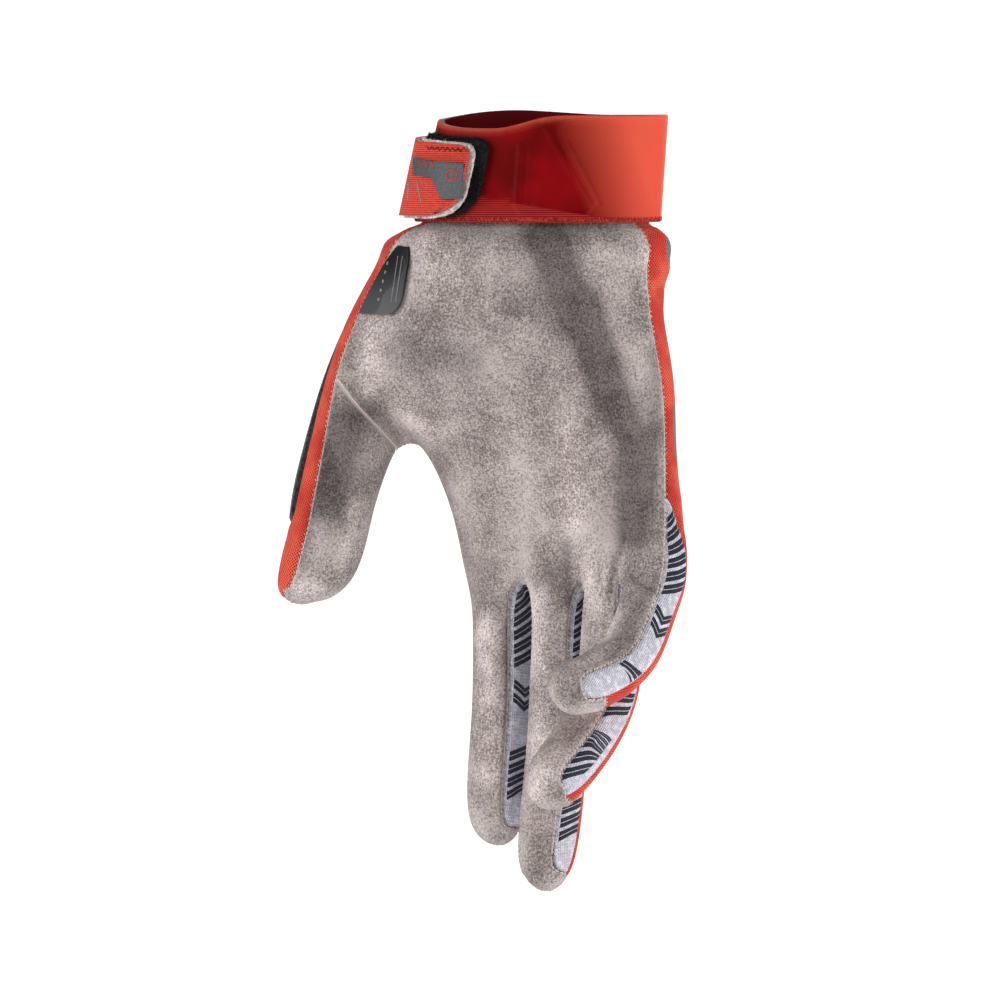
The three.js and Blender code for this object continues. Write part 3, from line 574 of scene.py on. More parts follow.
def seam_runs(firsts, seconds):
    """The seams between two groups of panels, as lists of points and outward directions."""

    def between(used):
        names = {panel_of[index] for index in used}
        return bool(names & firsts) and bool(names & seconds)

    neighbours = {}
    for start, end in seam_edges(hand, between):
        neighbours.setdefault(start, []).append(end)
        neighbours.setdefault(end, []).append(start)
    runs = []
    left = set(neighbours)
    while left:
        ends = [vertex for vertex in left if len(neighbours[vertex]) != 2]
        here = min(ends) if ends else min(left)
        order = [here]
        left.discard(here)
        while True:
            after = [vertex for vertex in neighbours[order[-1]] if vertex in left]
            if not after:
                break
            order.append(after[0])
            left.discard(after[0])
        if len(order) > SHORT_RUN:
            runs.append(order)
    return [(points[order], normals[order]) for order in runs]


points = read_points(hand)
normals = read_normals(hand)
knit_lines = {node: seam_runs({node}, CLOTH_NODES["suede"]) for node in CLOTH_NODES["knit"]}
mesh_lines = {node: seam_runs({node}, CLOTH_NODES["mesh"]) for node in CLOTH_NODES["knit"]}
side_seams = seam_runs(CLOTH_NODES["suede"], CLOTH_NODES["mesh"])
knit_seams = [run for node in sorted(knit_lines) for run in knit_lines[node]]
print("seams: suede to mesh", len(side_seams), "suede to knit", len(knit_seams))

# %% [markdown]
# The skin is cut apart at its seams. Each panel now is a piece of cloth of its own. It is unwrapped, which
# lays it flat like the cut pattern on the tailor's table, and the flat pattern is scaled to real metres, so
# that a weave or a row of holes has its true size and follows the cloth.

# %% Cut the panels apart and lay out their patterns
select_only(hand)
bpy.ops.mesh.separate(type="MATERIAL")
cloths = {}
for part in list(bpy.context.selected_objects):
    used = part.data.polygons[0].material_index
    node = part.data.materials[used].name.replace("marker_", "")
    part.name = PANELS[node]["piece"]
    part.data.name = part.name
    part.data.materials.clear()
    cloths[node] = part


def flat_pattern(piece):
    with edit_mode(piece):
        bpy.ops.uv.unwrap(method="ANGLE_BASED", margin=0)
    layer = piece.data.uv_layers.active
    layer.name = "pattern"
    flat = np.empty(len(layer.uv) * 2)
    layer.uv.foreach_get("vector", flat)
    flat = flat.reshape(-1, 2)
    flat_area = 0.0
    for face in piece.data.polygons:
        corners = flat[list(face.loop_indices)]
        after = np.roll(corners, -1, axis=0)
        flat_area += abs(np.sum(corners[:, 0] * after[:, 1] - corners[:, 1] * after[:, 0])) / 2
    area = surface_area(piece)
    flat *= math.sqrt(area / flat_area)
    layer.uv.foreach_set("vector", flat.ravel())
    size = flat.max(axis=0) - flat.min(axis=0)
    return {"width": float(size[0]), "length": float(size[1]), "area": area}


for node, piece in cloths.items():
    flat_pattern(piece)

# %% [markdown]
# The pattern on the knit follows the finger, so each knit panel carries two measures of its own: how far a
# point is along the finger from the fork, and how far it is across, from the suede to the mesh. The suede
# carries painted light and shade: lighter fields where the light falls and darker ones where shade falls,
# with a painted dark valley of shade down the palm and a painted bright band beside it.


# %% Measures that the patterns follow
def nearest_on(runs):
    spots = np.concatenate([run[0] for run in runs])
    return spots, tree_of(spots)


def store_measure(piece, name, values):
    store = piece.data.attributes.new(name, "FLOAT", "POINT")
    store.data.foreach_set("value", np.asarray(values, np.float32))


def run_lengths(spots):
    return np.concatenate([[0], np.cumsum(np.linalg.norm(np.diff(spots, axis=0), axis=1))])


MEASURE_ROUNDS = 40  # evens out the kinks where the seam bends
MIN_FINGER = 30 * MM  # a seam's end further than this from the fork is at a fingertip

for node in sorted(CLOTH_NODES["knit"]):
    piece = cloths[node]
    points = read_points(piece)
    spots = max(knit_lines[node], key=lambda run: len(run[0]))[0]
    lengths = run_lengths(spots)
    tangents = np.gradient(spots, axis=0)
    tangents /= np.linalg.norm(tangents, axis=1)[:, None]
    fork = int(np.argmax(spots[:, 2]))
    tree = tree_of(spots)
    to_mesh = distances(points, nearest_on(mesh_lines[node])[1])
    along = []
    across = []
    for point, rest in zip(points, to_mesh):
        _, i, away = tree.find(point)
        here = lengths[i] + (point - spots[i]) @ tangents[i] - lengths[fork]
        along.append(abs(here) / MM)
        across.append(away / (away + rest + 1e-6))
    edges = np.array([edge.vertices[:] for edge in piece.data.edges])
    smooth = even_out(np.column_stack([along, across]), edges, np.ones(len(points), bool), MEASURE_ROUNDS)
    store_measure(piece, "along", smooth[:, 0])
    store_measure(piece, "across", smooth[:, 1])
    tips = [spots[i] for i in (0, -1) if abs(lengths[i] - lengths[fork]) > MIN_FINGER]
    store_measure(piece, "tip_distance", distances(points, tree_of(tips)) / MM)
    print(piece.name, "longest way along the finger", round(max(along), 1), "mm")

# Painted light and shade on the suede: each stroke darkens it where shade falls or lightens it where light
# falls.
SUEDE_LIGHT_AND_SHADE_STROKES = [  # line between pixels, how much lighter or darker, reach in pixels
    (((548, 240), (572, 300), (604, 370), (632, 440), (632, 530)), -0.85, 19),
    (((545, 250), (560, 320)), -0.25, 26),
    (((592, 300), (604, 400)), -0.4, 15),
    (((562, 430), (574, 520)), 0.55, 15),
    (((648, 232), (656, 310)), 0.6, 9),
    (((655, 350), (656, 400), (650, 500)), -0.4, 8),
    (((428, 240), (450, 300)), 0.42, 16),
    (((372, 325), (368, 395)), 0.4, 12),
    (((410, 350), (470, 362)), -0.34, 22),
    (((402, 408), (436, 432)), 0.35, 13),
    (((480, 236), (610, 238)), -0.2, 9),
    (((520, 420), (515, 480)), 0.1, 36),
    (((345, 425), (330, 500)), -0.8, 24),
    (((308, 510), (300, 560)), -0.45, 8),
    (((356, 500), (342, 572)), 0.35, 8),
    (((298, 590), (332, 592)), 0.45, 9),
    (((470, 560), (488, 600)), -0.15, 12),
    (((486, 620), (490, 780)), 0.5, 11),
    (((506, 620), (507, 800)), -0.45, 4),
    (((541, 590), (538, 790)), 0.5, 10),
    (((566, 545), (568, 600)), -0.45, 7),
    (((592, 560), (604, 630)), 0.5, 14),
    (((650, 590), (612, 655)), -0.4, 9),
    (((575, 695), (604, 672)), -0.4, 9),
    (((562, 720), (548, 780)), 0.25, 8),
]
# The strokes are stored on the suede as painted light and shade.
for node in sorted(CLOTH_NODES["suede"]):
    pixels = photo_pixels(read_points(cloths[node]))
    nap = sum(tone * near_line(pixels, line, reach) for line, tone, reach in SUEDE_LIGHT_AND_SHADE_STROKES)
    store_measure(cloths[node], "nap", nap)

# %% [markdown]
# A sewn seam is never flush. The suede lies on top with a soft rolled edge, and the mesh and the knit dive
# under it. So each panel's border is shaped by its distance from the cut: a small roll outwards just inside
# the suede's edge, and a groove on the other cloths. A modifier then gives the cloth its thickness.

# %% Shape the borders and give the cloth its thickness
EDGES = {
    "suede": {"lift": 0.35, "lift_at": 1.1, "lift_reach": 0.8, "sink": 0.15, "sink_reach": 0.5, "draw": 0.05},
    "mesh": {"lift": 0.1, "lift_at": 2.4, "lift_reach": 1.0, "sink": 0.5, "sink_reach": 0.9, "draw": 0.1},
    "knit": {"lift": 0.1, "lift_at": 2.2, "lift_reach": 1.0, "sink": 0.45, "sink_reach": 0.8, "draw": 0.1},
    "wipe": {"lift": 1.35, "lift_at": 60, "lift_reach": 60, "sink": 1.2, "sink_reach": 0.8, "draw": 0.1},
}
THICKNESS = {"suede": 1.0, "mesh": 0.9, "knit": 0.8, "wipe": 1.6}
SHARP = math.radians(50)  # an edge that turns further keeps its crease


def border_tree(piece):
    bm = bmesh.new()
    bm.from_mesh(piece.data)
    points = []
    for edge in bm.edges:
        if edge.is_boundary:
            points.extend([edge.verts[0].co.copy(), (edge.verts[0].co + edge.verts[1].co) / 2])
    bm.free()
    return tree_of(points)


def shape_border(piece, edge):
    points = read_points(piece)
    away = distances(points, border_tree(piece)) / MM
    lift = edge["lift"] * hill((away - edge["lift_at"]) / edge["lift_reach"])
    sink = edge["sink"] * hill(away / edge["sink_reach"])
    write_points(piece, points + read_normals(piece) * ((lift - sink) * MM)[:, None])
    store_measure(piece, "edge_distance", away)


def draw_in_border(piece, step):
    """Moves the border towards the panel's middle, so that two panels never touch."""
    bm = bmesh.new()
    bm.from_mesh(piece.data)
    moves = {}
    for edge in bm.edges:
        if edge.is_boundary:
            face = edge.link_faces[0]
            along = (edge.verts[1].co - edge.verts[0].co).normalized()
            inward = face.calc_center_median() - edge.verts[0].co
            inward = (inward - along * inward.dot(along)).normalized()
            for vert in edge.verts:
                moves[vert] = moves.get(vert, Vector()) + inward
    for vert, move in moves.items():
        vert.co += move.normalized() * step
    bm.to_mesh(piece.data)
    bm.free()


def thicken(piece, thickness):
    wall = piece.modifiers.new("wall", "SOLIDIFY")
    wall.thickness = thickness
    wall.offset = -1
    apply_all(piece)
    select_only(piece)
    bpy.ops.object.shade_smooth_by_angle(angle=SHARP)


for node, piece in cloths.items():
    cloth = PANELS[node]["cloth"]
    shape_border(piece, EDGES[cloth])
    draw_in_border(piece, EDGES[cloth]["draw"] * MM)
    thicken(piece, THICKNESS[cloth] * MM)
    print(piece.name, count_triangles(piece), "triangles")

# %% [markdown]
# Materials come next. A node tree by hand is many clicks, and in code it is many lines, so small helpers do
# the wiring. The first ones add a node, do arithmetic and blend two colours. The others make the patterns
# that several cloths share: soft noise, stripes and a weave.


# %% Helpers for materials
def connect(paint, value, socket):
    if isinstance(value, bpy.types.NodeSocket):
        paint.node_tree.links.new(value, socket)
    else:
        socket.default_value = value


def add(paint, kind, inputs, **settings):
    made = paint.node_tree.nodes.new("ShaderNode" + kind)
    for name, value in settings.items():
        setattr(made, name, value)
    for key, value in inputs.items():
        connect(paint, value, made.inputs[key])
    return made


def calc(paint, operation, first, second=0.0, third=0.0):
    return add(paint, "Math", {0: first, 1: second, 2: third}, operation=operation).outputs[0]


def times(paint, first, second):
    return calc(paint, "MULTIPLY", first, second)


def plus(paint, first, second):
    return calc(paint, "ADD", first, second)


def rest_of(paint, share):
    return calc(paint, "SUBTRACT", 1.0, share)


def blend(paint, share, low, high):
    """A mix of two colours. Each is a link, or a tuple of red, green and blue."""
    low, high = ((*colour, 1) if isinstance(colour, tuple) else colour for colour in (low, high))
    return add(paint, "Mix", {0: share, 6: low, 7: high}, data_type="RGBA").outputs[2]


def rise(paint, value, low, high):
    """0 below low, 1 above high and a soft step between them."""
    inputs = {"Value": value, "From Min": low, "From Max": high}
    return add(paint, "MapRange", inputs, interpolation_type="SMOOTHSTEP").outputs["Result"]


def stretch_of(paint, value, low, high):
    """1 between low and high, 0 elsewhere."""
    return times(paint, calc(paint, "GREATER_THAN", value, low), calc(paint, "LESS_THAN", value, high))


def measure(paint, name):
    return add(paint, "Attribute", {}, attribute_name=name).outputs["Fac"]


def place(paint):
    return add(paint, "TexCoord", {}).outputs["Object"]


def pattern_place(paint):
    return add(paint, "UVMap", {}, uv_map="pattern").outputs["UV"]


def cloud(paint, size, detail=2.0):
    """Soft noise between about 0.3 and 0.7, with grains of the given size."""
    inputs = {"Vector": place(paint), "Scale": 1 / size, "Detail": detail}
    return add(paint, "TexNoise", inputs).outputs["Fac"]


def stripes(paint, where, axis, pitch):
    """A wave between 0 and 1 along one axis, with the given pitch."""
    parts = add(paint, "SeparateXYZ", {0: where})
    turns = times(paint, parts.outputs[axis], 2 * math.pi / pitch)
    return calc(paint, "MULTIPLY_ADD", calc(paint, "SINE", turns), 0.5, 0.5)


def weave(paint, across, along):
    """Threads both ways on the flat pattern, with the given pitches."""
    flat = pattern_place(paint)
    return times(paint, stripes(paint, flat, 0, across), stripes(paint, flat, 1, along))


def new_paint(name, colour, rough, sheen=0.0, sheen_rough=0.4, coat=0.0, shine=0.12):
    paint = bpy.data.materials.new("glove_" + name)
    paint.use_nodes = True
    sockets = paint.node_tree.nodes["Principled BSDF"].inputs
    sockets["Base Color"].default_value = (*colour, 1)
    sockets["Roughness"].default_value = rough
    sockets["Sheen Weight"].default_value = sheen
    sockets["Sheen Roughness"].default_value = sheen_rough
    sockets["Coat Weight"].default_value = coat
    sockets["Specular IOR Level"].default_value = shine
    return paint


def dress(paint, colour, height, relief):
    """Links colour and bump to the shader. relief is the height of the bump in millimetres."""
    sockets = paint.node_tree.nodes["Principled BSDF"].inputs
    connect(paint, colour, sockets["Base Color"])
    bump = add(paint, "Bump", {"Height": height, "Strength": 1.0, "Distance": relief * MM})
    connect(paint, bump.outputs["Normal"], sockets["Normal"])
    return paint


# %% [markdown]
# Synthetic suede is short fibre on a knitted back. Close up it is a salt-and-pepper of pale tips and dark
# gaps less than a millimetre across, over slow cloudy fields. Its cut edge is paler, partly because the bare
# ground of the cloth shows there and partly as a painted highlight where the rolled edge catches the light.

# %% Suede
# The nap here is painted light and shade: these bounds limit how far it darkens and lightens the suede.
SUEDE_LIGHT_AND_SHADE_RANGE = (0.4, 1.6)  # how dark and how light the nap may turn the suede


def suede_paint():
    paint = new_paint("suede", (0.33, 0.29, 0.265), 0.95, sheen=0.15, sheen_rough=0.5)
    fleck = cloud(paint, 0.72 * MM, 3.0)
    grain = cloud(paint, 0.38 * MM)
    field = cloud(paint, 14 * MM, 3.0)
    tone = times(paint, weave(paint, 0.9 * MM, 0.9 * MM), 0.08)
    for part, amount in ((fleck, 1.1), (grain, 1.25), (field, 1.1)):
        tone = plus(paint, tone, times(paint, calc(paint, "SUBTRACT", part, 0.5), amount))
    speckle = blend(paint, rise(paint, tone, -0.42, 0.5), (0.13, 0.105, 0.098), (0.57, 0.495, 0.475))
    # Painted light and shade scale the suede's colour.
    light_and_shade_scale = calc(paint, "MAXIMUM", plus(paint, measure(paint, "nap"), 1.0), SUEDE_LIGHT_AND_SHADE_RANGE[0])
    light_and_shade_scale = calc(paint, "MINIMUM", light_and_shade_scale, SUEDE_LIGHT_AND_SHADE_RANGE[1])
    body = add(paint, "VectorMath", {0: speckle, "Scale": light_and_shade_scale}, operation="SCALE").outputs[0]
    # A paler cut edge: partly the bare ground of the cloth, partly a painted highlight where the rolled edge
    # catches the light.
    cut = plus(paint, measure(paint, "edge_distance"), times(paint, fleck, 0.5))
    pale = times(paint, rest_of(paint, rise(paint, cut, 0.45, 0.95)), 0.85)
    colour = blend(paint, pale, body, (0.68, 0.58, 0.54))
    return dress(paint, colour, plus(paint, times(paint, fleck, 0.6), grain), 0.28)


# %% [markdown]
# The mesh is a red knit with small dark holes in diagonal rows, about 0.7 mm apart. A Voronoi texture with
# little randomness is a nearly regular grid of cells, and the distance to a cell's middle makes the holes.
# Grey printed blocks run round the edge of the hand on the little finger's side.

# %% Mesh
HOLE_PITCH = 0.7 * MM
PRINT_BLOCKS = [(-48.5, -38.5), (-84, -64), (-107, -92)]  # height above the wrist opening, in mm
PRINT_SLANT = 0.6
PRINT_EDGE = 31 * MM  # the blocks end here, across the hand
PRINT_EDGE_LEAN = -0.04


def mesh_paint():
    paint = new_paint("mesh", (0.7, 0.06, 0.025), 0.8, sheen=0.1)
    turned = add(paint, "Mapping", {"Vector": pattern_place(paint), "Rotation": (0, 0, math.radians(45))})
    grid = {"Vector": turned.outputs[0], "Scale": 1 / HOLE_PITCH, "Randomness": 0.12}
    cells = add(paint, "TexVoronoi", grid, voronoi_dimensions="2D")
    rim = rise(paint, cells.outputs["Distance"], 0.16, 0.4)
    worn = rise(paint, cloud(paint, 9 * MM, 3.0), 0.35, 0.65)
    red = blend(paint, worn, (0.62, 0.045, 0.028), (0.8, 0.11, 0.06))
    spot = add(paint, "SeparateXYZ", {0: place(paint)})
    slanted = calc(paint, "MULTIPLY_ADD", spot.outputs["Y"], PRINT_SLANT, spot.outputs["Z"])
    printed = 0.0
    for low, high in PRINT_BLOCKS:
        printed = calc(paint, "MAXIMUM", printed, stretch_of(paint, slanted, low * MM, high * MM))
    edge = calc(paint, "MULTIPLY_ADD", spot.outputs["Z"], PRINT_EDGE_LEAN, PRINT_EDGE)
    printed = times(paint, printed, calc(paint, "GREATER_THAN", spot.outputs["X"], edge))
    ground = blend(paint, printed, red, (0.2, 0.19, 0.195))
    hole = blend(paint, 0.85, ground, (0.04, 0.003, 0.003))
    return dress(paint, blend(paint, rim, hole, ground), rim, 0.25)


# %% [markdown]
# The finger sides are a thick white knit with embroidery in navy. The embroidery here is plain slanted bars
# with a pale line down the middle of each, and a pair of chevrons after every six bars. Its threads stand
# a little proud of the knit.

# %% Knit with bars
BAR_PITCH = 3.9  # mm along the finger
BAR_SLANT = 5.0  # mm of lean from the palm side to the back
BAR_SHARE = 0.74  # how much of the pitch is embroidered
CHEVRON_LEAN = 7.0
CHEVRON_SHARE = 0.7
PALE_LINE = 0.03  # half the width of the pale line, as a share of the pitch
BARS_START = 2 * BAR_PITCH
BARS_END = 8 * BAR_PITCH
CHEVRONS_START = 9 * BAR_PITCH
CHEVRONS_END = 11 * BAR_PITCH
REPEAT = 12 * BAR_PITCH
BARS_ACROSS = (0.15, 0.88)  # from the suede's side to the mesh's
BARE_TIP = 10.5  # mm, no bars this near to a fingertip
KNIT_PITCH = 0.62 * MM
EMBROIDERY_PITCH = 0.38 * MM


def bars(paint, way, share, low, high):
    """Which part of each pitch is embroidered, between low and high, with a pale line down its middle."""
    turn = calc(paint, "FRACT", calc(paint, "DIVIDE", way, BAR_PITCH))
    off_middle = calc(paint, "ABSOLUTE", calc(paint, "SUBTRACT", turn, share / 2))
    beside_line = calc(paint, "GREATER_THAN", off_middle, PALE_LINE)
    solid = times(paint, calc(paint, "LESS_THAN", turn, share), beside_line)
    return times(paint, solid, stretch_of(paint, way, low, high))


def knit_paint():
    paint = new_paint("knit", (0.62, 0.61, 0.68), 0.85, sheen=0.2)
    across = measure(paint, "across")
    round_way = calc(paint, "MODULO", measure(paint, "along"), REPEAT)
    slanted = calc(paint, "MULTIPLY_ADD", across, BAR_SLANT, round_way)
    off_line = calc(paint, "ABSOLUTE", calc(paint, "SUBTRACT", across, 0.5))
    pointed = calc(paint, "MULTIPLY_ADD", off_line, CHEVRON_LEAN, round_way)
    row = bars(paint, slanted, BAR_SHARE, BARS_START, BARS_END)
    pair = bars(paint, pointed, CHEVRON_SHARE, CHEVRONS_START, CHEVRONS_END)
    sewn = times(paint, calc(paint, "MAXIMUM", row, pair), stretch_of(paint, across, *BARS_ACROSS))
    sewn = times(paint, sewn, calc(paint, "GREATER_THAN", measure(paint, "tip_distance"), BARE_TIP))
    loops = weave(paint, KNIT_PITCH, KNIT_PITCH * 1.4)
    white = blend(paint, rise(paint, loops, 0.1, 0.5), (0.4, 0.385, 0.46), (0.74, 0.73, 0.79))
    white = blend(paint, rise(paint, cloud(paint, 1.6 * MM), 0.4, 0.7), white, (0.72, 0.71, 0.79))
    threads = stripes(paint, pattern_place(paint), 0, EMBROIDERY_PITCH)
    navy = blend(paint, threads, (0.006, 0.008, 0.016), (0.035, 0.04, 0.075))
    fringe = rest_of(paint, rise(paint, measure(paint, "edge_distance"), 0.3, 0.7))
    colour = blend(paint, times(paint, fringe, 0.5), blend(paint, sewn, white, navy), (0.75, 0.72, 0.76))
    height = plus(paint, loops, times(paint, sewn, plus(paint, threads, 0.8)))
    return dress(paint, colour, height, 0.3)


# %% [markdown]
# The thumb pad is a black looped cloth for wiping. Its loops are a coarse noise with strong relief.


# %% Wipe pad
def wipe_paint():
    paint = new_paint("wipe", (0.012, 0.011, 0.012), 0.95, sheen=0.35, sheen_rough=0.5)
    loops = cloud(paint, 0.9 * MM)
    colour = blend(paint, rise(paint, loops, 0.35, 0.7), (0.006, 0.005, 0.006), (0.035, 0.03, 0.032))
    return dress(paint, colour, loops, 0.6)


paints = {"suede": suede_paint(), "mesh": mesh_paint(), "knit": knit_paint(), "wipe": wipe_paint()}


def finish_piece(piece, paint):
    """Gives a piece its material, and the body that it belongs to."""
    piece.data.materials.clear()
    piece.data.materials.append(paints[paint])
    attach(piece, "root")


for node, piece in cloths.items():
    cloth = PANELS[node]["cloth"]
    finish_piece(piece, cloth)
    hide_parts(node)

# %% [markdown]
# Sewing thread is small, and there is a lot of it. One stitch is modelled once as a spindle of thread with
# 36 triangles, and a row of stitches is one mesh made of its copies, each turned along the seam.

# %% Thread
STITCH_SIDES = 6
STITCH_RINGS = ((-0.7, 0.8), (0.0, 1.0), (0.7, 0.8))  # place along the stitch and thickness there


def spindle():
    corners = [(-1.0, 0.0, 0.0)]
    for along, thick in STITCH_RINGS:
        for k in range(STITCH_SIDES):
            turn = 2 * math.pi * k / STITCH_SIDES
            corners.append((along, thick * math.cos(turn), thick * math.sin(turn)))
    corners.append((1.0, 0.0, 0.0))
    last = len(corners) - 1
    faces = []
    for k in range(STITCH_SIDES):
        after = (k + 1) % STITCH_SIDES
        faces.append((0, 1 + after, 1 + k))
        for ring in range(len(STITCH_RINGS) - 1):
            low = 1 + ring * STITCH_SIDES
            high = low + STITCH_SIDES
            faces.append((low + k, low + after, high + after, high + k))
        top = 1 + (len(STITCH_RINGS) - 1) * STITCH_SIDES
        faces.append((top + k, top + after, last))
    return np.array(corners), faces


def unit(vectors):
    return vectors / np.maximum(np.linalg.norm(vectors, axis=-1, keepdims=True), 1e-12)


def sew(name, middles, alongs, outs, half_length, radius, arch=0.0):
    """A row of stitches. alongs are the ways the stitches run and outs the ways the cloth faces."""
    corners, faces = spindle()
    alongs = unit(alongs - outs * np.sum(alongs * outs, axis=1)[:, None])
    sides = np.cross(outs, alongs)
    rows = []
    every = []
    for i, middle in enumerate(middles):
        lift = radius * corners[:, 2] + arch * (1 - corners[:, 0] ** 2)
        shape = corners[:, :1] * alongs[i] * half_length + corners[:, 1:2] * sides[i] * radius
        rows.append(middle + shape + lift[:, None] * outs[i])
        every.extend([tuple(v + i * len(corners) for v in face) for face in faces])
    mesh = bpy.data.meshes.new(name)
    mesh.from_pydata(np.concatenate(rows).tolist(), [], every)
    piece = new_piece(name, mesh)
    bpy.ops.object.shade_smooth()
    return piece


def resample(spots, outs, pitch):
    """Points at an even pitch along a line, with the line's way and the outward way at each."""
    lengths = run_lengths(spots)
    count = max(2, int(lengths[-1] / pitch))
    wanted = (np.arange(count) + 0.5) * lengths[-1] / count
    places = np.column_stack([np.interp(wanted, lengths, spots[:, i]) for i in range(3)])
    facing = unit(np.column_stack([np.interp(wanted, lengths, outs[:, i]) for i in range(3)]))
    return places, unit(np.gradient(places, axis=0)), facing


def join_pieces(name, pieces):
    select_only(*pieces)
    bpy.ops.object.join()
    bpy.context.object.name = name
    return bpy.context.object


# %% [markdown]
# The suede is sewn to the mesh with an overlock, short slanted stitches that wrap the suede's cut edge, one
# every millimetre and a half. The finger sides have the same stitch in white.

# %% Seam stitches
OVERLOCK_PITCH = 1.45 * MM
OVERLOCK_HALF = 0.72 * MM
THREAD_RADIUS = 0.17 * MM
OVERLOCK_SLANT = 0.75
OVERLOCK_LIFT = 0.05 * MM
OVERLOCK_ARCH = 0.12 * MM


def overlock(name, runs):
    rows = []
    for spots, outs in runs:
        places, ways, facing = resample(spots, outs, OVERLOCK_PITCH)
        slanted = np.cross(facing, ways) + ways * OVERLOCK_SLANT
        places += facing * OVERLOCK_LIFT
        rows.append(sew("row", places, slanted, facing, OVERLOCK_HALF, THREAD_RADIUS, OVERLOCK_ARCH))
    return join_pieces(name, rows)


side_stitches = overlock("side_stitches", side_seams)
knit_stitches = overlock("knit_stitches", knit_seams)
print("stitch rows:", len(side_seams) + len(knit_seams), "triangles:", count_triangles(side_stitches))

# %% [markdown]
# The cuff is neoprene, a foam with a smooth red face. It keeps the solid's shape: a short tube that dips at
# the front rim. Its edges are creased before it is subdivided, so that they round over without shrinking.
# Two raised welts are welded into its front. They are drawn as lines between pixels of the photograph, and
# the cuff is refined near them.

# %% Cuff
SHADED_ROUND = math.radians(60)
BEVEL_PARTS = 3
FACING = 0.2  # how far a face looks at the camera, from 0 to 1
OUTSIDE = 0.3  # how far it looks away from the cuff's middle


def smooth_copy(node, name, rounds, rounded):
    """A copy of a solid, subdivided within its creased edges, which are then rounded off."""
    piece = copy_node(node, name)
    make_quads(piece)
    with edit_mode(piece, "DESELECT", "EDGE"):
        bpy.ops.mesh.edges_select_sharp(sharpness=SHARP)
        bpy.ops.transform.edge_crease(value=1.0)
    add_rounds(piece, rounds)
    edge = piece.modifiers.new("edge", "BEVEL")
    edge.limit_method = "ANGLE"
    edge.angle_limit = SHARP
    edge.width = rounded
    edge.segments = BEVEL_PARTS
    apply_all(piece)
    select_only(piece)
    bpy.ops.object.shade_smooth_by_angle(angle=SHADED_ROUND)
    return piece


def turned_to_camera(piece):
    return read_normals(piece) @ np.array(towards_camera) > FACING


WELT_REACH = 2.3  # pixels
WELT_STRIP = 9
WELTS = [  # line between pixels, depth in mm, which is negative for a raised welt, and reach
    (((520, 146), (516, 205), (521, 214), (585, 214), (590, 208), (546, 130)), -0.55, WELT_REACH),
    (((594, 203), (561, 138), (560, 127), (566, 121)), -0.5, WELT_REACH),
    (((600, 203), (568, 140)), 0.3, WELT_REACH),
    (((526, 150), (523, 204)), 0.2, WELT_REACH),
]

cuff = smooth_copy("cuff_band", "cuff_neoprene", 2, 0.6 * MM)
for _ in range(2):
    points = read_points(cuff)
    pixels = photo_pixels(points)
    strip = np.min([distance_to_line(pixels, welt[0]) for welt in WELTS], axis=0) < WELT_STRIP
    refine(cuff, strip & turned_to_camera(cuff) & (points[:, 1] < 0))
points = read_points(cuff)
pixels = photo_pixels(points)
centre = points.mean(axis=0)
outward = unit((points - centre) * (1, 1, 0))
facing_out = np.sum(read_normals(cuff) * outward, axis=1)
outside = (facing_out > OUTSIDE) & (points[:, 1] < 0)
press(cuff, WELTS, outside)
print("cuff:", count_triangles(cuff), "triangles")

# %% [markdown]
# Cloth that is held on a hand is never quite even. A slow wave along the cuff makes it look worn. The
# measure "inner" marks the inside, which is a dark lining, and "ribs" marks the finely ribbed strip along
# the lower edge, deep beside the strap and narrow at the other end. Another measure is painted light: it
# makes the neoprene lighter on the little finger's side, where the light from the right falls on it.

# %% Waves and measures of the cuff
CUFF_WAVE = 0.35 * MM
CUFF_WAVE_SIZE = 17 * MM
RIM_PARTS = 72
LIP = 1.2 * MM
RIBS_FADE = 1.5
RIBS_TOP = ((440, 470, 600, 660), (193, 195, 217, 219))  # pixels across, and the strip's top there
# Painted light on the cuff: where it starts, its top and its slant, and how fast it fades, in pixels.
CUFF_LIGHT_START = 555  # pixels across
CUFF_LIGHT_TOP = 130
CUFF_LIGHT_SLANT = 0.35
CUFF_LIGHT_FADE = 75

points = read_points(cuff)
foot = points[:, 2].min()
wave = np.array([noise.noise(Vector(point) / CUFF_WAVE_SIZE) for point in points])
points += outward * (wave * CUFF_WAVE)[:, None]
write_points(cuff, points)
store_measure(cuff, "inner", np.clip(0.5 - 2 * facing_out, 0, 1))
strip_top = np.interp(pixels[:, 0], *RIBS_TOP)
store_measure(cuff, "ribs", np.clip((pixels[:, 1] - strip_top) / RIBS_FADE, 0, 1) * outside)
# Painted light: the cuff grows lighter towards the little finger's side.
glow = (pixels[:, 0] - CUFF_LIGHT_START - CUFF_LIGHT_SLANT * (pixels[:, 1] - CUFF_LIGHT_TOP)) / CUFF_LIGHT_FADE
store_measure(cuff, "glow", np.clip(glow, 0, 1))
turns = ((np.arctan2(outward[:, 1], outward[:, 0]) / (2 * math.pi) % 1) * RIM_PARTS).astype(int) % RIM_PARTS
rim = np.array([points[turns == k, 2].max() for k in range(RIM_PARTS)])
store_measure(cuff, "lip", hill((rim[turns] - points[:, 2]) / LIP))

# %% [markdown]
# The wrist strap comes round from the back. Its end shows four layers: a black hook pad on the cuff, a pale
# felt, the red ribbed strap and a grey moulded badge. Each keeps its solid's outline, gets rounded edges,
# and is then worked on at the places that the photograph shows. A ray from the camera through a pixel finds
# the spot on a piece where a stitch or a line belongs.


# %% Spots on a piece that lie behind a pixel
STITCH_LAY = 0.6  # how far a stitch's middle stands off the cloth, in radii
STITCH_HALF = 0.56  # half a stitch, as a share of the way from turn to turn
BEAD_LAY = 0.1
BEAD_STEP = 1.0  # pixels


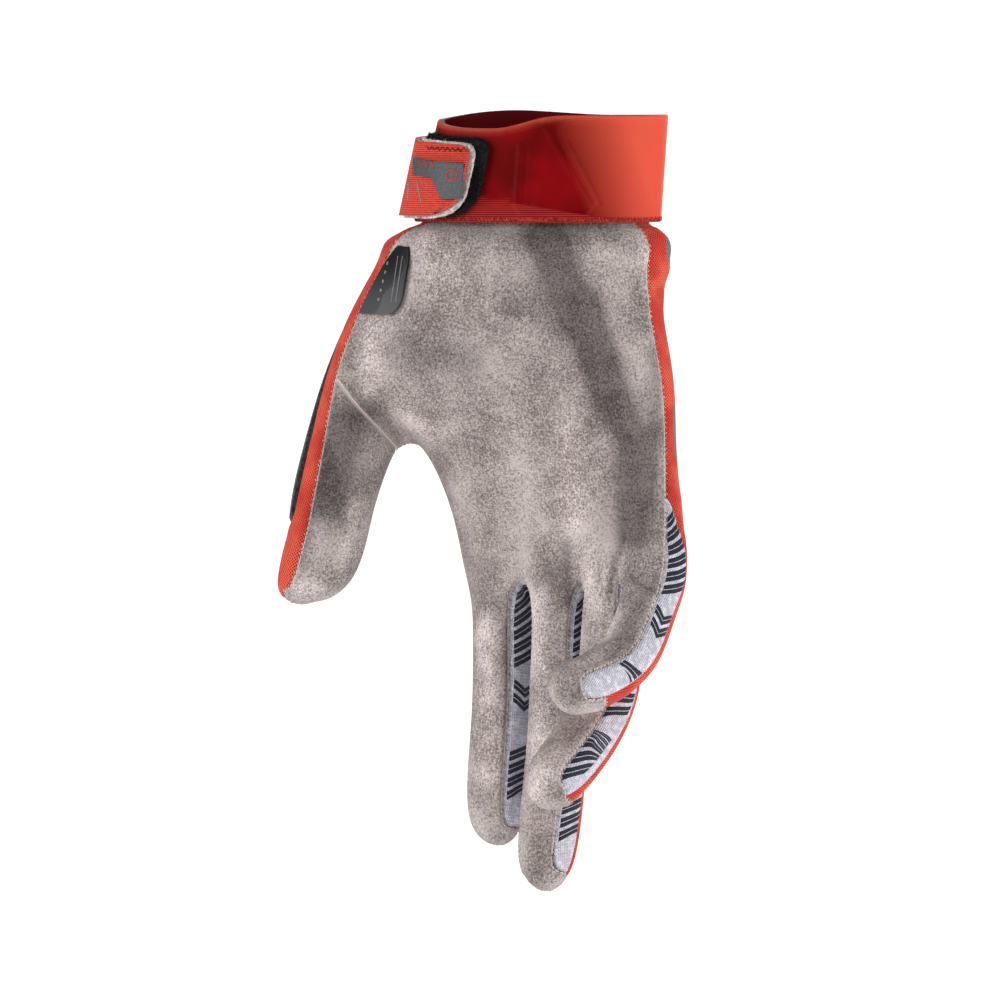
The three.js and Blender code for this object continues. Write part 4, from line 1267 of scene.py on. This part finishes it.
def touch(piece, line, step):
    """Points and outward directions on a piece, every few pixels along a line in the photograph."""
    tree = BVHTree.FromObject(piece, bpy.context.evaluated_depsgraph_get())
    line = np.array(line, float)
    lengths = run_lengths(line)
    wanted = np.arange(0, lengths[-1] + step / 2, step)
    spots = []
    outs = []
    for way in wanted:
        across, down = (np.interp(way, lengths, line[:, i]) - middle_pixel for i in range(2))
        ray = (-towards_camera + right * (across / FOCUS) - up * (down / FOCUS)).normalized()
        spot, out, _, _ = tree.ray_cast(eye, ray)
        if spot is not None:
            spots.append(spot)
            outs.append(out)
    return np.array(spots), np.array(outs)


def zigzag(piece, line, step, swing, radius):
    spots, outs = touch(piece, line, step)
    ways = unit(np.gradient(spots, axis=0))
    sides = np.cross(outs, ways)
    turn = np.where(np.arange(len(spots)) % 2 == 0, 1, -1)[:, None]
    corners = spots + sides * turn * swing
    middles = (corners[1:] + corners[:-1]) / 2 + outs[1:] * radius * STITCH_LAY
    half = np.linalg.norm(corners[1] - corners[0]) * STITCH_HALF
    return sew("row", middles, corners[1:] - corners[:-1], outs[1:], half, radius)


def bead(piece, line, radius):
    """A thin raised line that lies on a piece."""
    spots, outs = touch(piece, line, BEAD_STEP)
    curve = bpy.data.curves.new("bead", "CURVE")
    curve.dimensions = "3D"
    curve.bevel_depth = radius
    curve.bevel_resolution = 1
    curve.use_fill_caps = True
    spline = curve.splines.new("POLY")
    spline.points.add(len(spots) - 1)
    for point, spot, out in zip(spline.points, spots, outs):
        point.co = (*(spot + out * radius * BEAD_LAY), 1)
    new_piece("bead", curve)
    bpy.ops.object.convert(target="MESH")
    bpy.ops.object.shade_smooth()
    return bpy.context.object


# %% [markdown]
# Fibres are loose hairs: three-sided spikes with one bend, thrown over a piece by chance. The seed is fixed,
# so that every run grows the same hairs.

# %% Fibres
chance = np.random.default_rng(11)
HAIR_SIDES = 3
HAIR_RINGS = ((-0.15, 1.0), (0.55, 0.7))  # height and thickness, as shares
HAIR_LENGTHS = (0.5, 1.1)
HAIR_BEND = 0.6


def grow(name, piece, count, length, radius, spread):
    """Hairs on a piece, each leaning by chance. spread is how far they lean."""
    faces = list(piece.data.polygons)
    areas = np.array([face.area for face in faces])
    picks = chance.choice(len(faces), count, p=areas / areas.sum())
    corners = []
    sides = []
    for pick in picks:
        face = faces[pick]
        ring = [piece.data.vertices[i].co for i in face.vertices[:3]]
        shares = chance.dirichlet((1, 1, 1))
        root = sum((corner * share for corner, share in zip(ring, shares)), Vector())
        way = (face.normal + Vector(chance.normal(0, spread, 3))).normalized()
        bend = Vector(chance.normal(0, spread, 3))
        tall = length * chance.uniform(*HAIR_LENGTHS)
        side = way.orthogonal().normalized()
        other = way.cross(side)
        first = len(corners)
        for height, thick in HAIR_RINGS:
            for k in range(HAIR_SIDES):
                turn = 2 * math.pi * k / HAIR_SIDES
                round_way = side * math.cos(turn) + other * math.sin(turn)
                corners.append(root + way * tall * height + round_way * radius * thick)
        corners.append(root + (way + bend * HAIR_BEND).normalized() * tall)
        for k in range(HAIR_SIDES):
            after = (k + 1) % HAIR_SIDES
            sides.append((first + k, first + after, first + 3 + after, first + 3 + k))
            sides.append((first + 3 + k, first + 3 + after, first + 6))
    mesh = bpy.data.meshes.new(name)
    mesh.from_pydata([tuple(corner) for corner in corners], [], sides)
    return new_piece(name, mesh)


# %% [markdown]
# In the photograph the strap's end lies a little further round the cuff than in the frame. Each layer is
# slid round there: the cuff is close to an ellipse, so a point is turned along it, and keeps its height
# above it.

# %% Hook pad, felt and strap
STRAP_SLIDE = 3.6 * MM
STRAP_STRETCH = 1.08  # and its layers are a little taller
STRAP_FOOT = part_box("strap_tab")[0].z
SLIDE_STARTS = -41 * MM  # nothing moves left of this
SLIDE_ENDS = -30 * MM  # the full slide from here


def stretch_up(piece):
    points = read_points(piece)
    points[:, 2] = STRAP_FOOT + (points[:, 2] - STRAP_FOOT) * STRAP_STRETCH
    write_points(piece, points)


def slide_round_cuff(piece, slide):
    half = (outer_high - outer_low) / 2
    middle = (outer_high + outer_low) / 2
    points = read_points(piece)
    share = np.clip((points[:, 0] - SLIDE_STARTS) / (SLIDE_ENDS - SLIDE_STARTS), 0, 1)
    share = share * share * (3 - 2 * share) * (points[:, 1] < middle[1])
    flat = (points[:, :2] - middle) / half
    turn = np.arctan2(flat[:, 1], flat[:, 0])
    size = np.linalg.norm(flat, axis=1)
    stretch = np.hypot(half[0] * np.sin(turn), half[1] * np.cos(turn))
    turn += slide * share / stretch
    points[:, 0] = middle[0] + half[0] * size * np.cos(turn)
    points[:, 1] = middle[1] + half[1] * size * np.sin(turn)
    write_points(piece, points)


cuff_points = read_points(cuff)[:, :2]
outer_low, outer_high = cuff_points.min(axis=0), cuff_points.max(axis=0)
LAYERS = [  # node, piece, rounds of subdivision, width of the rounded edge
    ("hook_pad", "hook_tape", 2, 0.4 * MM),
    ("strap_lining", "strap_felt", 2, 0.3 * MM),
    ("strap_tab", "strap_cloth", 3, 0.4 * MM),
]
hook_tape, strap_felt, strap_cloth = (smooth_copy(*layer) for layer in LAYERS)
for piece in (hook_tape, strap_felt, strap_cloth):
    slide_round_cuff(piece, STRAP_SLIDE)
    stretch_up(piece)

STRAP_GROOVES = [  # line between pixels, depth in mm, reach in pixels
    (((424, 148), (472, 151)), 0.25, 2.2),
    (((436, 213), (467, 210)), 0.25, 2.2),
    (((473.5, 152), (474.5, 180), (471, 205)), 0.45, 2.0),
]
press(strap_cloth, STRAP_GROOVES, turned_to_camera(strap_cloth))
FELT_WAVE = 0.18 * MM
FELT_WAVE_SIZE = 1.3 * MM
points = read_points(strap_felt)
wave = np.array([noise.noise(Vector(point) / FELT_WAVE_SIZE) for point in points])
write_points(strap_felt, points + read_normals(strap_felt) * (wave * FELT_WAVE)[:, None])

STRAP_THREAD = 0.2 * MM
STRAP_ROWS = [  # line between pixels, pixels from turn to turn, swing and thread
    (((427, 148), (472, 150.5)), 2.6, 0.55 * MM, STRAP_THREAD),
    (((432, 213), (466, 210)), 2.6, 0.55 * MM, STRAP_THREAD),
    (((473.5, 155), (474.5, 178), (471, 204)), 2.8, 0.45 * MM, STRAP_THREAD * 0.8),
]
STRAP_LINES = [((417, 180), (421.4, 203)), ((409, 182), (407.5, 200))]
strap_stitches = join_pieces("strap_stitches", [zigzag(strap_cloth, *row) for row in STRAP_ROWS])
strap_lines = join_pieces("strap_lines", [bead(strap_cloth, line, 0.2 * MM) for line in STRAP_LINES])
hook_pile = grow("hook_pile", hook_tape, 4200, 1.2 * MM, 0.06 * MM, 0.5)
felt_hairs = grow("felt_hairs", strap_felt, 1500, 0.9 * MM, 0.04 * MM, 0.6)
print("hairs:", count_triangles(hook_pile) + count_triangles(felt_hairs), "triangles")

# %% [markdown]
# The badge is soft moulded rubber with a rounded edge. It carries only plain marks: three slanted dashes and
# a small ring, in raised red. The label is a satin patch with a row of dots and two fine lines.

# %% Badge and label
badge = smooth_copy("strap_badge", "strap_badge_rubber", 2, 0.25 * MM)
stretch_up(badge)
label = smooth_copy("thumb_label", "thumb_label_satin", 2, 0.2 * MM)
DASH = 0.2 * MM
LABEL_LINE = 0.14 * MM
LABEL_DOT = 0.35 * MM
RING_CORNERS = 25
RING_PIXEL = (452, 175)
RING_REACH = 5.2
ring = [
    (RING_PIXEL[0] + RING_REACH * math.cos(a), RING_PIXEL[1] + RING_REACH * math.sin(a))
    for a in np.linspace(0, 2 * math.pi, RING_CORNERS)
]
dashes = [((x, 160), (x + 3, 169)) for x in (419, 425, 431)]
badge_marks = join_pieces("badge_marks", [bead(badge, line, DASH) for line in [ring] + dashes])
label_lines = [((398, 256), (391, 303)), ((402.5, 256), (395.5, 303))]
label_dots = [((388 - 2.2 * k, 262 + 9 * k), (387.4 - 2.2 * k, 265 + 9 * k)) for k in range(5)]
label_beads = [bead(label, line, LABEL_LINE) for line in label_lines]
label_beads += [bead(label, dot, LABEL_DOT) for dot in label_dots]
label_marks = join_pieces("label_marks", label_beads)

# %% [markdown]
# The cuff is sewn to the glove by a row of loops in red thread, one every 1.3 mm all round its lower edge.
# Rays from outside towards the cuff's axis find where each loop sits.

# %% Stitches at the cuff
LOOP_PITCH_DEG = 2.1
LOOP_RISE = 0.9 * MM
RAY_START = 0.2  # metres from the cuff's axis, surely outside
LOOP_ROWS = [  # shift along the cuff, lean, half length, thread and arch
    (0.0, 0.55, 0.8 * MM, 0.15 * MM, 0.1 * MM),
    (0.6 * MM, -0.8, 0.65 * MM, 0.13 * MM, 0.05 * MM),
]
tree = BVHTree.FromObject(cuff, bpy.context.evaluated_depsgraph_get())
loops = []
facing = []
for degrees in np.arange(0, 360, LOOP_PITCH_DEG):
    way = Vector((math.cos(math.radians(degrees)), math.sin(math.radians(degrees)), 0))
    start = Vector((centre[0], centre[1], foot + LOOP_RISE)) + way * RAY_START
    spot = tree.ray_cast(start, -way)[0]
    if spot is not None:
        loops.append(spot)
        facing.append(way)
loops = np.array(loops)
facing = unit(np.array(facing))
ways = unit(np.roll(loops, -1, axis=0) - loops)
downs = np.tile((0.0, 0.0, -1.0), (len(loops), 1))
loop_rows = []
for shift, lean, half, thread, arch in LOOP_ROWS:
    loop_rows.append(sew("row", loops + ways * shift, downs + ways * lean, facing, half, thread, arch))
cuff_stitches = join_pieces("cuff_stitches", loop_rows)
print("loops at the cuff:", len(loops))

# %% [markdown]
# The last finishes. The neoprene has a fine skin and a soft shine and is deep red, with painted light
# that makes it lighter round the little finger's side. The strap is a rib knit: its ribs run across it, 0.6
# mm apart.


# %% Finishes of the cuff and the strap
RIB_PITCH = 0.62 * MM


def neoprene_paint():
    paint = new_paint("neoprene", (0.3, 0.01, 0.006), 0.55, shine=0.05)
    ribs = stripes(paint, place(paint), 2, RIB_PITCH)
    field = rise(paint, cloud(paint, 16 * MM), 0.3, 0.7)
    base = blend(paint, field, (0.12, 0.0005, 0.0008), (0.24, 0.0006, 0.003))
    # Painted light on the little finger's side.
    base = blend(paint, measure(paint, "glow"), base, (0.62, 0.075, 0.042))
    ribbed = blend(paint, ribs, (0.14, 0.004, 0.006), (0.5, 0.03, 0.025))
    base = blend(paint, measure(paint, "ribs"), base, ribbed)
    base = blend(paint, times(paint, measure(paint, "lip"), 0.6), base, (0.7, 0.1, 0.06))
    colour = blend(paint, measure(paint, "inner"), base, (0.09, 0.002, 0.004))
    raised = times(paint, ribs, measure(paint, "ribs"))
    return dress(paint, colour, calc(paint, "MULTIPLY_ADD", raised, 2.0, cloud(paint, 0.5 * MM)), 0.08)


def strap_paint():
    paint = new_paint("strap", (0.72, 0.07, 0.04), 0.7, sheen=0.15)
    ribs = stripes(paint, place(paint), 2, RIB_PITCH)
    grain = cloud(paint, 0.5 * MM)
    colour = blend(paint, ribs, (0.36, 0.012, 0.008), (0.8, 0.1, 0.06))
    colour = blend(paint, rise(paint, grain, 0.5, 0.75), colour, (0.75, 0.09, 0.055))
    return dress(paint, colour, plus(paint, ribs, grain), 0.2)


def label_paint():
    paint = new_paint("label", (0.03, 0.03, 0.033), 0.42, coat=0.1)
    spot = add(paint, "SeparateXYZ", {0: place(paint)})
    way = calc(paint, "MULTIPLY_ADD", spot.outputs["X"], 0.5, spot.outputs["Z"])
    low = rest_of(paint, rise(paint, way, -84 * MM, -64 * MM))
    colour = blend(paint, low, (0.012, 0.012, 0.013), (0.07, 0.068, 0.074))
    return dress(paint, colour, stripes(paint, place(paint), 2, 0.3 * MM), 0.04)


def flecked_paint(name, dark, light, size, rough, relief, sheen=0.0):
    """A finish that wavers between two colours, with grains of one size."""
    paint = new_paint(name, light, rough, sheen)
    grain = cloud(paint, size * MM)
    return dress(paint, blend(paint, rise(paint, grain, 0.35, 0.65), dark, light), grain, relief)


paints.update(neoprene=neoprene_paint(), strap=strap_paint(), label=label_paint())
FLECKED = {  # dark colour, light colour, size of the grains in mm, roughness, relief in mm, sheen
    "hook": ((0.003, 0.003, 0.003), (0.014, 0.014, 0.015), 0.6, 0.85, 0.3),
    "felt": ((0.42, 0.36, 0.34), (0.74, 0.68, 0.66), 0.8, 0.95, 0.3, 0.3),
    "badge": ((0.06, 0.065, 0.071), (0.095, 0.1, 0.108), 0.4, 0.42, 0.04),
    "red_thread": ((0.2, 0.008, 0.006), (0.66, 0.07, 0.04), 1.2, 0.6, 0.03),
    "dark_thread": ((0.05, 0.002, 0.002), (0.3, 0.015, 0.01), 0.7, 0.6, 0.03),
    "pale_thread": ((0.14, 0.1, 0.09), (0.6, 0.54, 0.5), 1.4, 0.7, 0.03),
    "red_rubber": ((0.5, 0.02, 0.015), (0.66, 0.045, 0.03), 0.5, 0.45, 0.03),
    "grey_mark": ((0.2, 0.2, 0.21), (0.32, 0.32, 0.33), 0.5, 0.5, 0.03),
}
for name, look in FLECKED.items():
    paints[name] = flecked_paint(name, *look)

REPLACED = [  # piece, finish, slot of the record, node that the piece stands for
    (cuff, "neoprene", "neoprene", "cuff_band"),
    (hook_tape, "hook", "hook", "hook_pad"),
    (strap_felt, "felt", "felt", "strap_lining"),
    (strap_cloth, "strap", "neoprene", "strap_tab"),
    (badge, "badge", "badge", "strap_badge"),
    (label, "label", "label", "thumb_label"),
]
for piece, paint, slot, node in REPLACED:
    finish_piece(piece, paint)
    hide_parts(node)
ADDED = [  # piece and finish
    (hook_pile, "hook"),
    (felt_hairs, "felt"),
    (strap_stitches, "dark_thread"),
    (strap_lines, "grey_mark"),
    (cuff_stitches, "red_thread"),
    (side_stitches, "pale_thread"),
    (knit_stitches, "pale_thread"),
    (badge_marks, "red_rubber"),
    (label_marks, "grey_mark"),
]
for piece, paint in ADDED:
    finish_piece(piece, paint)
print("finishes:", len(paints))

# %% [markdown]
# The cuff and the layers of the strap are cut from flat cloth too. Their flat sizes are not worked out
# here; each piece's points are only read.


# %% Points of the cuff and the strap
def declare_sheet(piece):
    points = read_points(piece)


for piece in (cuff, hook_tape, strap_felt, strap_cloth):
    declare_sheet(piece)
